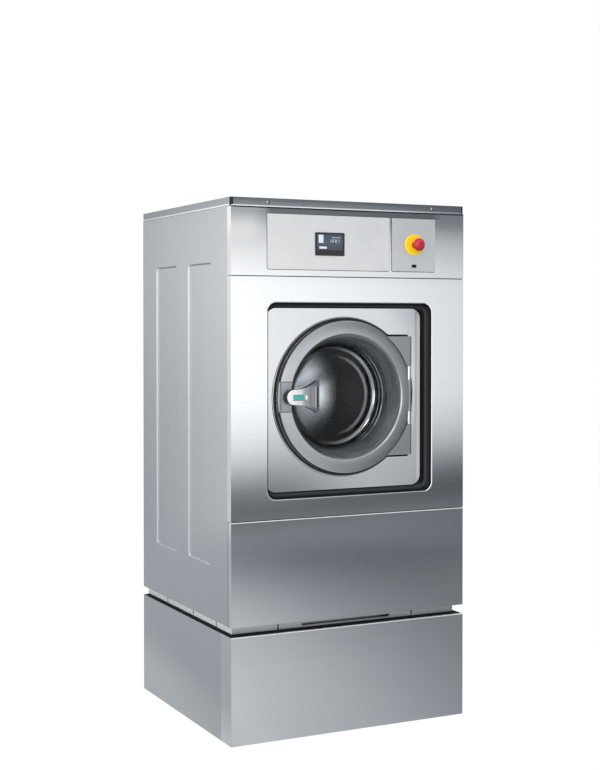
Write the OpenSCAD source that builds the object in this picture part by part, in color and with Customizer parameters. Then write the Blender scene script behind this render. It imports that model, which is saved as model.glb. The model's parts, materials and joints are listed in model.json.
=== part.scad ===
// Front-loading commercial laundry machine with a glass bowl door, standing on a raised plinth.
// The origin is on the floor under the middle of the plinth. +Z is up and the door faces -Y.
// Depths named d are measured back from the plane of the front panels. All sizes are millimetres.

/* [Plinth] */
// Height of the plinth
plinth_h = 280; // [200:5:400]
// Thickness of the plinth sheet
plinth_t = 2; // [1.5:0.5:3]
// Depth of the plinth front's side returns
plinth_return = 66; // [62:1:90]
// Width of the inward flanges on top of the plinth
plinth_flange = 60; // [56:1:62]
// Side of the square plinth posts
plinth_post = 40; // [30:1:44]
// Side of the square foot plates
foot_side = 80; // [72:1:100]
// Thickness of the foot plates
foot_t = 6; // [4:1:12]
// Radius of the floor anchor holes
anchor_r = 7; // [5:0.5:9]
// Distance of an anchor hole from the two inner edges of its foot plate
anchor_edge = 20; // [16:1:24]
// Radius of the studs that hold the machine on the plinth
stud_r = 6; // [4:0.5:7]

/* [Base] */
// Height of the set-back base
base_h = 25; // [20:1:50]
// Set-back of the base behind the front panels
base_inset_front = 30; // [22:1:38]
// Set-back of the base behind the side panels
base_inset_side = 15; // [10:1:22]
// Width of the base rails
rail_w = 40; // [34:1:46]
// Wall of the base rails
rail_t = 3; // [2:0.5:4]
// Length of the grip slot in the front rail
grip_w = 268; // [150:2:360]
// Height of the grip slot
grip_h = 7; // [5:0.5:9]
// Thickness of the base deck
deck_t = 4; // [3:0.5:8]

/* [Cabinet] */
// Width over the side panels
cab_w = 700; // [690:5:800]
// Depth over the front and rear panels
cab_d = 650; // [640:5:780]
// Height of the lower front panel
lower_h = 270; // [250:5:340]
// Height of the front panel around the door
front_h = 629; // [600:1:700]
// Height of the control fascia
fascia_h = 177; // [168:1:240]
// Height of the top cover's rim
cover_h = 22; // [18:1:28]
// Corner radius of the top cover
cover_r = 12; // [4:1:20]
// Clearance between the top cover and the panels
cover_gap = 0.5; // [0.3:0.1:0.9]
// Thickness of the panel sheet
sheet = 1.5; // [1:0.1:2]
// Seam between two panels
seam = 2; // [1:0.5:4]
// Depth of the front panels' side returns
panel_return = 23; // [15:1:28]
// Width of the corner posts' legs
post_w = 30; // [26:1:36]
// Thickness of the corner posts' legs
post_t = 3; // [2:0.5:4]
// Distance of the two cover screws from the middle
cover_screw_x = 247; // [150:1:300]
// Radius of the case screws' shanks
screw_r = 2.4; // [1.5:0.1:3]
// Radius of the case screws' heads
screw_head_r = 5; // [4:0.1:7]

/* [Side panels] */
// Width of a pressed field
field_w = 167; // [100:1:180]
// Distance from the cabinet front to the first pressed field
field_front = 127; // [80:1:150]
// Distance between the two pressed fields, edge to same edge
field_pitch = 245; // [200:1:260]
// Height of the pressed fields above the panel's lower edge
field_rise = 141; // [80:1:200]
// Length of the pressed fields
field_h = 799; // [600:1:840]
// Depth of the pressed fields
field_depth = 4; // [2:0.5:8]
// Corner radius of the pressed fields
field_r = 15; // [6:1:30]

/* [Recess] */
// Width of the door recess
recess_w = 494; // [480:1:540]
// Height of the door recess
recess_h = 511; // [490:1:540]
// Corner radius of the recess at the front
recess_r = 25; // [10:1:40]
// Corner radius of the recess floor
recess_floor_r = 27; // [10:1:40]
// Depth of the recess
recess_depth = 38; // [34:1:46]
// How far the recess walls lean inward
recess_slope = 14; // [8:1:18]
// How far the recess sits below the middle of the front panel
recess_drop = 8; // [0:1:14]
// Width of the recess pan's flange behind the front panel
pan_flange = 12; // [8:1:20]

/* [Door] */
// Sideways place of the door and drum axis
door_x = -3; // [-8:1:8]
// Height of the door axis above the middle of the recess
door_rise = 5; // [-6:1:10]
// Outer radius of the door ring
door_r = 204.8; // [196:0.2:208]
// Inner radius of the door ring's face
door_in_r = 166.5; // [160:0.5:170]
// Thickness of the door ring
door_t = 16; // [14:1:20]
// Drop of the ring's crowned face from its inner to its outer edge
ring_crown = 4; // [2:0.5:5]
// Gap between the door ring and the recess floor
door_gap = 4; // [3:0.5:6]
// Step from the ring's face back to the hinge lugs
lug_step = 1; // [0.5:0.5:2]
// Distance of the hinge axis inside the ring's outer radius
hinge_inset = 10.8; // [9:0.1:14]
// Height from the door axis to the far edge of a hinge lug
lug_far = 161; // [140:1:170]
// Height from the door axis to the near edge of a hinge lug
lug_near = 79; // [72:1:90]
// Height from the door axis to the near edge of a hinge notch
notch_near = 42; // [36:1:50]
// Radius of the hinge pins
hinge_pin_r = 4; // [3:0.1:4.5]
// Radius of the fixed hinge knuckles
knuckle_r = 6.5; // [5.5:0.1:6.8]
// Thickness of the glass bowl
glass_t = 6; // [4:0.5:8]
// Depth of the glass bowl behind the ring's face
bowl_depth = 92; // [70:1:104]
// How far the bowl narrows from its rim to its end
bowl_taper = 28; // [20:1:45]
// Radius of the bowl's inner corner
bowl_corner = 10; // [6:1:16]
// Width of the bead around the door
bead_w = 3.8; // [2:0.2:6]

/* [Handle] */
// Height of the handle above the door axis
handle_rise = 4; // [-4:1:8]
// Width of the handle block
block_w = 38; // [34:1:40]
// Height of the handle block
block_h = 79; // [60:1:100]
// Radius of the lever's round end
lever_r = 19.5; // [16:0.5:24]
// Height of the lever's flared tip
lever_tip_h = 86; // [60:1:110]
// Distance from the centre of the lever's round end to its tip
lever_len = 79.5; // [60:0.5:100]
// Length of the straight lip at the lever's tip
lever_lip = 10; // [8:0.5:16]
// Greatest thickness of the lever
lever_t = 18; // [16:0.5:24]
// Radius of the lever's bowed front
lever_bow_r = 281; // [240:1:500]
// Radius of the lever's pivot pin
lever_pin_r = 3; // [2:0.1:3.5]
// Radius of the lock bolt
bolt_r = 4; // [3:0.1:5]
// Travel of the lock bolt
bolt_travel = 9; // [8:0.5:10]

/* [Controls] */
// Width of the display plate
plate_w = 362; // [300:1:364]
// Gap between the two plates
plate_gap = 8; // [4:1:20]
// Sideways place of the pair of plates
plate_shift = 4.5; // [-20:0.5:20]
// Width of the stop plate
stop_plate_w = 135; // [120:1:150]
// Height of both plates
plate_h = 143; // [120:1:148]
// Height of both plates above the fascia's lower edge
plate_rise = 17; // [8:1:18]
// Thickness of both plates
plate_t = 3; // [2:0.5:5]
// Corner radius of both plates
plate_r = 4; // [2:0.5:10]
// Sideways place of the display on its plate
display_shift = -1; // [-30:1:30]
// Width of the display bezel
bezel_w = 86.5; // [70:0.5:110]
// Height of the display bezel
bezel_h = 61; // [50:1:90]
// Width of the screen
screen_w = 75; // [50:1:78]
// Height of the screen
screen_h = 42; // [30:1:44]
// Sideways place of the stop button on its plate
stop_shift = 0.5; // [-10:0.5:10]
// Radius of the stop button's collar
stop_collar_r = 28; // [24:0.5:32]
// Radius of the stop button's head
stop_head_r = 17.5; // [15:0.5:22]
// Radius of the stop button's stem
stop_stem_r = 9; // [7:0.5:10]
// Distance from the collar to the back of the button's head
stop_reach = 18; // [12:1:24]
// Travel of the stop button
stop_travel = 6; // [3:0.5:8]
// Width of the data socket
socket_w = 13.5; // [12:0.5:18]
// Height of the data socket
socket_h = 8; // [7:0.5:10]

/* [Drum] */
// Outer radius of the tub
tub_r = 300; // [290:1:310]
// Wall of the tub
tub_t = 3; // [2:0.5:5]
// Thickness of the tub's rear wall
tub_back_t = 6; // [5:0.5:8]
// Length of the rubber sleeve between recess and tub
sleeve_l = 22.5; // [22:0.5:26]
// Inner radius of the rubber sleeve
sleeve_r = 176; // [175:0.5:178]
// Outer radius of the drum
drum_r = 265; // [255:1:272]
// Wall of the drum
drum_t = 1.5; // [1:0.1:3]
// Radius of the drum's mouth
mouth_r = 170; // [165:1:176]
// Height of the lifters
lifter_h = 58; // [40:1:70]
// Width of the lifters at the drum wall
lifter_w = 80; // [50:1:100]
// Wall of the lifters
lifter_t = 2.5; // [1.5:0.5:4]
// Number of lifters
lifter_count = 3; // [3:1:4]
// Gap between the drum's front and the tub's front
drum_front_gap = 23; // [22:0.5:26]
// Gap between the drum's rear and the tub's rear wall
drum_rear_gap = 31; // [28:1:36]
// Gap between the drive and the rear panel
rear_gap = 43.5; // [12:0.5:60]

/* [Drive] */
// Radius of the drum shaft
shaft_r = 25; // [20:0.5:28]
// Outer radius of the bearings
bearing_r = 45; // [42:0.5:50]
// Width of a bearing
bearing_w = 20; // [16:1:24]
// Length of the bearing housing
housing_l = 108; // [90:1:112]
// Radius of the drum pulley
pulley_r = 160; // [120:1:180]
// Width of both pulleys
pulley_w = 30; // [24:1:34]
// Radius of the motor pulley
motor_pulley_r = 35; // [28:1:45]
// Thickness of the drive belt
belt_t = 5; // [3:0.5:8]
// Sideways place of the motor
motor_x = 110; // [100:1:120]
// Radius of the motor
motor_r = 85; // [70:1:90]
// Radius of the motor shaft
motor_shaft_r = 14; // [10:0.5:18]
// Half the width of the tub cradles
cradle_half = 215; // [205:1:230]
// Thickness of the tub cradles
cradle_t = 8; // [6:1:12]

/* [Water] */
// Sideways place of the drain
drain_x = -100; // [-110:1:-80]
// Outer radius of the drain pipe
drain_r = 37.5; // [30:0.5:40]
// Wall of the drain pipe
drain_t = 4.5; // [3:0.5:6]
// Height of the drain pipe's axis above the deck
drain_rise = 66; // [62:1:80]
// How far the drain pipe stands out behind the cabinet
drain_out = 60; // [40:1:100]
// Radius of the water inlet nipples
inlet_r = 13.2; // [10:0.1:16]
// How far the inlet nipples stand out behind the cabinet
inlet_out = 16; // [12:1:24]
// Radius of the fill pipe
fill_r = 12; // [8:0.5:14]
// Radius of the mains gland's bore
gland_r = 9; // [5:0.5:12]

/* [Hidden] */
$fn = 96;
// Running clearance of pins and shafts
run = 0.06;
// Clearance between pieces that are fixed together
fit = 0.1;
// Clearance between pieces that move past each other
clear = 0.4;
// Overshoot of a cut
cut = 1;
// Step from a nipple or spigot down to its neck inside the cabinet
neck = 1.5;

half_w = cab_w / 2;
half_d = cab_d / 2;
front_y = -half_d;

// Levels from the floor up
z_panel = plinth_h + base_h;
z_deck = z_panel + deck_t;
z_front = z_panel + lower_h + seam;
z_fascia = z_front + front_h + seam;
z_panel_top = z_fascia + fascia_h;
z_cover = z_panel_top + cover_gap;
z_top = z_cover + cover_h;
z_rest = z_top - sheet;
recess_z = z_front + front_h / 2 - recess_drop;
door_z = recess_z + door_rise;

// Plinth and base
hem = min(base_inset_side, base_inset_front) - 3;
stud_x = half_w - base_inset_side - rail_w / 2;
stud_y = half_d - base_inset_front - rail_w / 2;
foot_x = stud_x + plinth_post / 2 - foot_side;
foot_y = stud_y + plinth_post / 2 - foot_side;
anchor_x = foot_x + anchor_edge;
anchor_y = foot_y + anchor_edge;
stud_hole_r = stud_r + 0.5;
grip_z = plinth_h + base_h / 2 - grip_h / 2 - 2;
mark_reach = 66;
mark_x = grip_w / 2 + mark_reach;
mark_w = 5;

// Recess and door, as depths behind the front plane
floor_w = recess_w - 2 * recess_slope;
floor_h = recess_h - 2 * recess_slope;
pan_back = recess_depth + sheet;
door_back = recess_depth - door_gap;
door_face = door_back - door_t;
lug_face = door_face + lug_step;
hinge_d = (lug_face + door_back) / 2;
hinge_end_r = (door_back - lug_face) / 2 - 0.2;
hinge_x = door_r - hinge_inset;
notch_depth = hinge_end_r + 1;
pin_near = notch_near - 12;
pin_far = lug_near + 21;
knuckle_gap = 2;
edge_r = 3;
seat_r = door_in_r + 10.5;
seat_d = door_face + 7;
lip_d = door_face + 5;
flange_d = door_face + 11;
opening_r = seat_r + 7;
bead_r = door_r + 5.8;
gasket_in_r = opening_r + 2;
sleeve_lip_r = door_in_r + 3;

// Glass bowl
rim_r = door_in_r - 2.9;
bowl_end_r = rim_r - bowl_taper;
bowl_end_d = door_face + bowl_depth;
bowl_lean = atan(bowl_taper / (bowl_end_d - flange_d));

// Handle, latch and lock, placed from the door axis
block_x = -door_r + 0.3;
block_back = door_face + 10;
lever_x = -door_r + 13.8 + lever_r;
pivot_x = lever_x - 6;
lever_front = door_face - 26;
lever_back = lever_front + lever_t;
pivot_d = lever_back - 6;
pedestal_d = lever_back + 5;
ear_r = 6;
ear_w = 12;
ear_slot = ear_r + 3.5;
groove_w = 3;
tongue_x = block_x + 5.5;
tongue_t = 7;
tongue_h = 24;
bolt_d = pan_back + 10.5;
tongue_end = bolt_d + bolt_r + 4;
lock_d = bolt_d + bolt_r + 6;
lock_x = tongue_x - 5.5;
lock_w = 46;
lock_h = 56;
window_x = tongue_x - 6;
window_w = 17;
window_h = tongue_h + 6;

// Controls
plate_x = plate_shift - (plate_w + plate_gap + stop_plate_w) / 2;
stop_plate_x = plate_x + plate_w + plate_gap;
display_x = plate_x + plate_w / 2 + display_shift;
stop_x = stop_plate_x + stop_plate_w / 2 + stop_shift;
plate_z = z_fascia + plate_rise;
display_z = plate_z + plate_h / 2 - 3.5;
screen_z = display_z + 5;
bezel_t = 2;
body_w = bezel_w - 10;
body_h = bezel_h - 10;
body_d = 28;
stop_z = plate_z + plate_h / 2 + 0.5;
barrel_r = stop_stem_r + 3.5;
collar_t = 4;
collar_front = -plate_t - collar_t;
head_t = 14;
head_back = collar_front - stop_reach;
spigot_r = 6;
spigot_l = 9;
stem_end = 14;
bore_end = stem_end + stop_travel + 4;
socket_z = plate_z + 15;

// Tub and drum, as depths behind the front plane
pulley_gap = 20;
tub_front = pan_back + sleeve_l;
drum_front_d = tub_front + drum_front_gap;
pulley_end = cab_d - sheet - rear_gap;
pulley_d = pulley_end - pulley_w;
housing_end = pulley_d - pulley_gap;
tub_end = housing_end - housing_l;
tub_back = tub_end - tub_back_t;
drum_back = tub_back - drum_rear_gap;
spider_t = 14;
hub_r = shaft_r + 35;
seal_r = shaft_r + 13;
seal_l = 10;
housing_flange = 12;
housing_flange_w = 65;
housing_wall = 16;
rib_w = 10;
rib_reach = 50;
rib_stop = 30;
bearing_front = tub_end + housing_flange + 6;
bearing_rear = housing_end - bearing_w - 5;
belt_gap = 0.3;
rim_t = 12;

// Motor, cradles and water
cradle_foot = 40;
cradle_front_lead = 58;
cradle_rear_lead = 47;
cradle_front = tub_front + cradle_front_lead;
cradle_rear = tub_end - cradle_rear_lead;
motor_d = cradle_rear + cradle_t;
motor_z = z_deck + motor_r + 36;
motor_end = pulley_d - 15;
drain_z = z_deck + drain_rise;
valve_side = 96;
valve_lead = 150;
drain_d = cradle_rear - valve_lead;
sump_r = 36;
sump_t = 5;
sump_rise = 95;
sump_z = drain_z + sump_rise;
actuator_side = 64;
actuator_h = 48;
valve_d = drain_d + valve_side / 2 + actuator_side / 2 + 10;
disc_r = drain_r - drain_t - clear;
disc_t = 4;
spindle_r = 5;
spindle_top = drain_z + drain_r - drain_t + actuator_h - 18;
inlet_rise = 82;
inlet_z = z_fascia + inlet_rise;
inlet_x = -220;
inlet_pitch = 60;
inlet_body = [45, 60, 50];
fill_z = door_z + tub_r * 0.55;
fill_x = inlet_x;
fill_d = cab_d - sheet - inlet_body[1] / 2;
gland_x = 250;
gland_z = inlet_z;
gland_body_r = gland_r + 7;
gland_in = 20;
gland_out = 28;
screw_x = half_w - sheet - post_w / 2;
screw_l = 10;
screw_head_h = 3;
screw_margin = 42;
screw_pitch = (z_panel_top - z_panel - 2 * screw_margin) / 3;
louvre_x = 100;
louvre_rise = 60;
louvre_w = 120;
louvre_h = 8;
louvre_pitch = 24;

// A box from three ranges, with d measured back from the front plane
module slab(x, d, z) {
    translate([x[0], front_y + d[0], z[0]])
        cube([x[1] - x[0], d[1] - d[0], z[1] - z[0]]);
}

// A flat shape drawn as seen from the front, between two depths
module plate(d0, d1) {
    translate([0, front_y + d1, 0])
        rotate([90, 0, 0])
            linear_extrude(d1 - d0)
                children();
}

// A rectangle with round corners
module rounded(x, z, w, h, r) {
    translate([x + r, z])
        square([w - 2 * r, h]);
    translate([x, z + r])
        square([w, h - 2 * r]);
    for (cx = [x + r, x + w - r], cz = [z + r, z + h - r])
        translate([cx, cz])
            circle(r);
}

// A round bar along Y, along X or along Z
module rod_y(x, z, d0, d1, r) {
    translate([x, front_y + d0, z])
        rotate([-90, 0, 0])
            cylinder(h = d1 - d0, r = r);
}
module rod_x(x0, x1, d, z, r) {
    translate([x0, front_y + d, z])
        rotate([0, 90, 0])
            cylinder(h = x1 - x0, r = r);
}
module rod_z(x, d, z0, z1, r) {
    translate([x, front_y + d, z0])
        cylinder(h = z1 - z0, r = r);
}

// A turned piece around an axis along Y, drawn as radius and depth
module turned(x = door_x, z = door_z) {
    translate([x, front_y, z])
        rotate([-90, 0, 0])
            rotate_extrude()
                children();
}

// Places pieces by their distance from the door axis
module at_door() {
    translate([door_x, 0, door_z])
        children();
}

// The same piece on the left and on the right
module both_sides() {
    for (side = [0, 1])
        mirror([side, 0, 0])
            children();
}

// The same piece at the four corners
module four_corners() {
    for (back = [0, 1])
        mirror([0, back, 0])
            both_sides()
                children();
}

module stud_holes(z0, z1) {
    four_corners()
        translate([stud_x, stud_y, z0 - cut])
            cylinder(h = z1 - z0 + 2 * cut, r = stud_hole_r);
}

// Plinth

module plinth_front() {
    color("silver")
        difference() {
            union() {
                slab([-half_w, half_w], [0, plinth_t], [0, plinth_h]);
                both_sides()
                    slab([half_w - plinth_t, half_w], [0, plinth_return], [0, plinth_h]);
                slab([-half_w, half_w], [0, plinth_flange], [plinth_h - plinth_t, plinth_h]);
                slab([-half_w, half_w], [0, hem], [0, plinth_t]);
            }
            stud_holes(plinth_h - plinth_t, plinth_h);
        }
}

module plinth_side() {
    start = plinth_return + 0.5;
    slab([half_w - plinth_t, half_w], [start, cab_d - plinth_t], [0, plinth_h]);
    slab([half_w - plinth_flange, half_w], [start, cab_d - plinth_flange],
        [plinth_h - plinth_t, plinth_h]);
    slab([half_w - hem, half_w], [start, cab_d - hem], [0, plinth_t]);
}

module plinth_left() {
    color("silver")
        mirror([1, 0, 0])
            plinth_side();
}

module plinth_right() {
    color("silver")
        plinth_side();
}

module plinth_rear() {
    inner = half_w - plinth_t;
    color("silver")
        difference() {
            union() {
                slab([-half_w, half_w], [cab_d - plinth_t, cab_d], [0, plinth_h]);
                slab([-inner, inner], [cab_d - plinth_flange, cab_d], [plinth_h - plinth_t, plinth_h]);
                slab([-inner, inner], [cab_d - hem, cab_d], [0, plinth_t]);
            }
            stud_holes(plinth_h - plinth_t, plinth_h);
        }
}

// A foot plate with its anchor hole, a post, and the stud and nut that hold the machine
module plinth_post_corner() {
    difference() {
        translate([foot_x, foot_y, 0])
            cube([foot_side, foot_side, foot_t]);
        translate([anchor_x, anchor_y, -cut])
            cylinder(h = foot_t + 2 * cut, r = anchor_r);
    }
    translate([stud_x - plinth_post / 2, stud_y - plinth_post / 2, 0])
        cube([plinth_post, plinth_post, plinth_h - plinth_t]);
    translate([stud_x, stud_y, plinth_h - plinth_t - cut])
        cylinder(h = z_deck - plinth_h + plinth_t + 2 * stud_r, r = stud_r);
    translate([stud_x, stud_y, z_deck])
        cylinder(h = 1.5 * stud_r, r = 1.8 * stud_r, $fn = 6);
}

module plinth_posts() {
    color("dimgray")
        four_corners()
            plinth_post_corner();
}

// Base

module base_front_rail() {
    x = half_w - base_inset_side;
    d = [base_inset_front, base_inset_front + rail_w];
    color("silver")
        difference() {
            slab([-x, x], d, [plinth_h, z_panel]);
            slab([-x - cut, x + cut], [d[0] + rail_t, d[1] - rail_t], [plinth_h + rail_t, z_panel - rail_t]);
            slab([-grip_w / 2, grip_w / 2], [d[0] - cut, d[0] + rail_t + cut], [grip_z, grip_z + grip_h]);
            both_sides()
                slab([mark_x, mark_x + mark_w], [d[0] - cut, d[0] + rail_t + cut],
                    [plinth_h + rail_t, z_panel - rail_t]);
            stud_holes(plinth_h, z_panel);
        }
}

module base_side_rail() {
    x = [half_w - base_inset_side - rail_w, half_w - base_inset_side];
    start = base_inset_front + rail_w;
    difference() {
        slab(x, [start, cab_d], [plinth_h, z_panel]);
        slab([x[0] + rail_t, x[1] - rail_t], [start - cut, cab_d + cut],
            [plinth_h + rail_t, z_panel - rail_t]);
        for (d = [0.2, 0.45, 0.75])
            slab([x[1] - rail_t - cut, x[1] + cut], [d * cab_d, d * cab_d + mark_w],
                [plinth_h + rail_t, z_panel - rail_t]);
        stud_holes(plinth_h, z_panel);
    }
}

module base_rails() {
    x = half_w - base_inset_side - rail_w;
    color("silver") {
        both_sides()
            base_side_rail();
        difference() {
            slab([-x, x], [cab_d - rail_w, cab_d], [plinth_h, z_panel]);
            slab([-x - cut, x + cut], [cab_d - rail_w + rail_t, cab_d - rail_t],
                [plinth_h + rail_t, z_panel - rail_t]);
        }
    }
}

module base_deck() {
    x = half_w - sheet - fit;
    color("gray")
        difference() {
            slab([-x, x], [sheet + fit, cab_d - sheet - fit], [z_panel, z_deck]);
            stud_holes(z_panel, z_deck);
        }
}

// Cabinet

// An angle post whose outer corner stands inside the sheet metal
module corner_post() {
    x = half_w - sheet - post_w;
    y = half_d - sheet - post_w;
    translate([0, 0, z_deck])
        difference() {
            translate([x, y, 0])
                cube([post_w, post_w, z_rest - z_deck]);
            translate([x - cut, y - cut, -cut])
                cube([post_w - post_t + cut, post_w - post_t + cut, z_rest - z_deck + 2 * cut]);
        }
}

module cabinet_frame() {
    x = half_w - sheet;
    color("gray")
        difference() {
            intersection() {
                frame_bars(x);
                cover_block(-sheet, z_deck, z_rest, max(cover_r - 2 * sheet - cover_gap, 0.5));
            }
            case_screw_places()
                rod_y(0, 0, -5, 2 * screw_l, screw_r + fit);
        }
}

// The corner posts and the rails that join their tops
module frame_bars(x) {
    four_corners()
        corner_post();
    for (back = [0, 1])
        mirror([0, back, 0]) {
            slab([-x, x], [sheet, sheet + post_t], [z_rest - post_w, z_rest]);
            slab([-x, x], [sheet, sheet + post_w], [z_rest - post_t, z_rest]);
        }
    both_sides() {
        slab([x - post_t, x], [sheet, cab_d - sheet], [z_rest - post_w, z_rest]);
        slab([x - post_w, x], [sheet, cab_d - sheet], [z_rest - post_t, z_rest]);
    }
}

// A side panel with its two pressed-in fields, drawn for the right side
module side_panel() {
    start = panel_return + 0.5;
    difference() {
        union() {
            slab([half_w - sheet, half_w], [start, cab_d - sheet], [z_panel, z_panel_top]);
            side_fields(half_w - field_depth - sheet, half_w, sheet);
        }
        side_fields(half_w - field_depth, half_w + cut, 0);
    }
}

// The outlines of the two fields, grown by an edge and drawn between two widths
module side_fields(x0, x1, grow) {
    for (i = [0, 1])
        translate([x0, 0, 0])
            rotate([90, 0, 90])
                linear_extrude(x1 - x0)
                    rounded(front_y + field_front + i * field_pitch - grow, z_panel + field_rise - grow,
                        field_w + 2 * grow, field_h + 2 * grow, field_r + grow);
}

module left_side_panel() {
    color("gainsboro")
        mirror([1, 0, 0])
            side_panel();
}

module right_side_panel() {
    color("gainsboro")
        side_panel();
}

// Where the case screws sit: pieces drawn at the origin with their heads towards -Y from depth 0
module case_screw_places() {
    both_sides()
        translate([cover_screw_x, -cover_gap - sheet, z_cover + cover_h / 2])
            children();
    both_sides()
        for (i = [0:3])
            translate([screw_x, 0, z_panel + screw_margin + i * screw_pitch])
                mirror([0, 1, 0])
                    children();
}

module case_screws() {
    color("whitesmoke")
        case_screw_places() {
            rod_y(0, 0, 0, screw_l, screw_r);
            translate([0, front_y, 0])
                rotate([90, 0, 0])
                    cylinder(h = screw_head_h, r1 = screw_head_r, r2 = 0.6 * screw_head_r);
        }
}

module rear_panel() {
    color("gainsboro")
        difference() {
            slab([-half_w, half_w], [cab_d - sheet, cab_d], [z_panel, z_panel_top]);
            for (i = [0, 1])
                rod_y(inlet_x + i * inlet_pitch, inlet_z, cab_d - sheet - cut, cab_d + cut, inlet_r + clear);
            rod_y(gland_x, gland_z, cab_d - sheet - cut, cab_d + cut, gland_body_r + fit);
            rod_y(drain_x, drain_z, cab_d - sheet - cut, cab_d + cut, drain_r + clear);
            both_sides()
                for (row = [0:8])
                    slab([louvre_x, louvre_x + louvre_w], [cab_d - sheet - cut, cab_d + cut],
                        [z_front + louvre_rise + row * louvre_pitch,
                            z_front + louvre_rise + row * louvre_pitch + louvre_h]);
            case_screw_places()
                rod_y(0, 0, -5, 5, screw_r + fit);
        }
}

// The two bent-back edges of a front panel
module panel_returns(z0, z1) {
    both_sides()
        slab([half_w - sheet, half_w], [0, panel_return], [z0, z1]);
}

module front_panel() {
    color("gainsboro") {
        plate(0, sheet)
            difference() {
                translate([-half_w, z_front])
                    square([cab_w, front_h]);
                rounded(-recess_w / 2, recess_z - recess_h / 2, recess_w, recess_h, recess_r);
            }
        panel_returns(z_front, z_front + front_h);
    }
}

module recess_outline(d, w, h, r) {
    plate(d - 0.01, d)
        rounded(-w / 2, recess_z - h / 2, w, h, r, $fn = 32);
}

module recess_pan() {
    wall = 2 * sheet;
    brim = 2 * pan_flange;
    color("gainsboro")
        difference() {
            union() {
                plate(sheet, 2 * sheet)
                    rounded(-recess_w / 2 - pan_flange, recess_z - recess_h / 2 - pan_flange,
                        recess_w + brim, recess_h + brim, recess_r + pan_flange);
                hull() {
                    recess_outline(sheet + 0.02, recess_w + wall, recess_h + wall, recess_r + sheet);
                    recess_outline(pan_back, floor_w + wall, floor_h + wall, recess_floor_r + sheet);
                }
            }
            hull() {
                recess_outline(sheet, recess_w, recess_h, recess_r);
                recess_outline(recess_depth, floor_w, floor_h, recess_floor_r);
            }
            rod_y(door_x, door_z, recess_depth - cut, pan_back + cut, opening_r);
            latch_window(recess_depth - cut, pan_back + cut);
        }
}

// The slot through which the latch tongue reaches the lock
module latch_window(d0, d1) {
    at_door()
        slab([window_x, window_x + window_w], [d0, d1],
            [handle_rise - window_h / 2, handle_rise + window_h / 2]);
}

module lower_front_panel() {
    color("gainsboro") {
        slab([-half_w, half_w], [0, sheet], [z_panel, z_panel + lower_h]);
        panel_returns(z_panel, z_panel + lower_h);
    }
}

module display_window(d0, d1) {
    slab([display_x - body_w / 2 - fit, display_x + body_w / 2 + fit], [d0, d1],
        [display_z - body_h / 2 - fit, display_z + body_h / 2 + fit]);
}

module socket_window(d0, d1) {
    slab([stop_x - socket_w / 2 - fit, stop_x + socket_w / 2 + fit], [d0, d1],
        [socket_z - socket_h / 2 - fit, socket_z + socket_h / 2 + fit]);
}

module control_fascia() {
    color("gainsboro")
        difference() {
            union() {
                slab([-half_w, half_w], [0, sheet], [z_fascia, z_panel_top]);
                panel_returns(z_fascia, z_panel_top);
            }
            display_window(-cut, sheet + cut);
            socket_window(-cut, sheet + cut);
            rod_y(stop_x, stop_z, -cut, sheet + cut, barrel_r + fit);
        }
}

module cover_block(edge, z0, z1, r) {
    translate([0, 0, z0])
        linear_extrude(z1 - z0)
            rounded(-half_w - edge, -half_d - edge, cab_w + 2 * edge, cab_d + 2 * edge, r);
}

module top_cover() {
    color("silver")
        difference() {
            cover_block(cover_gap + sheet, z_cover, z_top, cover_r);
            cover_block(cover_gap, z_cover - cut, z_rest, cover_r - sheet);
            case_screw_places()
                rod_y(0, 0, -5, 5, screw_r + fit);
        }
}

// Controls

module display_plate() {
    color("whitesmoke")
        difference() {
            plate(-plate_t, 0)
                rounded(plate_x, plate_z, plate_w, plate_h, plate_r);
            display_window(-plate_t - cut, cut);
        }
}

module stop_plate() {
    color("whitesmoke")
        difference() {
            plate(-plate_t, 0)
                rounded(stop_plate_x, plate_z, stop_plate_w, plate_h, plate_r);
            rod_y(stop_x, stop_z, -plate_t - cut, cut, barrel_r + fit);
            socket_window(-plate_t - cut, cut);
        }
}

module screen_slab(grow, d0, d1) {
    slab([display_x - screen_w / 2 - grow, display_x + screen_w / 2 + grow], [d0, d1],
        [screen_z - screen_h / 2 - grow, screen_z + screen_h / 2 + grow]);
}

module display_housing() {
    front = -plate_t - bezel_t;
    color("black")
        difference() {
            union() {
                plate(front, -plate_t)
                    rounded(display_x - bezel_w / 2, display_z - bezel_h / 2, bezel_w, bezel_h, 2);
                slab([display_x - body_w / 2, display_x + body_w / 2], [-plate_t - cut, body_d],
                    [display_z - body_h / 2, display_z + body_h / 2]);
            }
            screen_slab(fit, front - cut, front + bezel_t / 2 + 0.2);
        }
}

module display_screen() {
    front = -plate_t - bezel_t;
    color("steelblue")
        screen_slab(0, front + 0.2, front + bezel_t / 2 + 0.2);
}

module data_socket() {
    front = -plate_t - 0.6;
    color("black")
        difference() {
            slab([stop_x - socket_w / 2, stop_x + socket_w / 2], [front, 14],
                [socket_z - socket_h / 2, socket_z + socket_h / 2]);
            slab([stop_x - socket_w / 2 + 1, stop_x + socket_w / 2 - 1], [front - cut, 8],
                [socket_z - socket_h / 2 + 1.5, socket_z + socket_h / 2 - 1.5]);
        }
}

module stop_collar() {
    color("gold")
        turned(stop_x, stop_z)
            polygon([
                [stop_stem_r + clear, -plate_t],
                [stop_collar_r, -plate_t],
                [stop_collar_r, collar_front + 1],
                [stop_collar_r - 1, collar_front],
                [stop_stem_r + clear, collar_front]
            ]);
}

module stop_contacts() {
    block = 22;
    color("darkgray")
        difference() {
            union() {
                rod_y(stop_x, stop_z, -plate_t, bore_end, barrel_r);
                rod_y(stop_x, stop_z, sheet, sheet + 5, barrel_r + 5);
                slab([stop_x - block, stop_x + block], [bore_end - 8, bore_end + 30],
                    [stop_z - block, stop_z + block]);
            }
            rod_y(stop_x, stop_z, -plate_t - cut, bore_end, stop_stem_r + run);
        }
}

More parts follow.
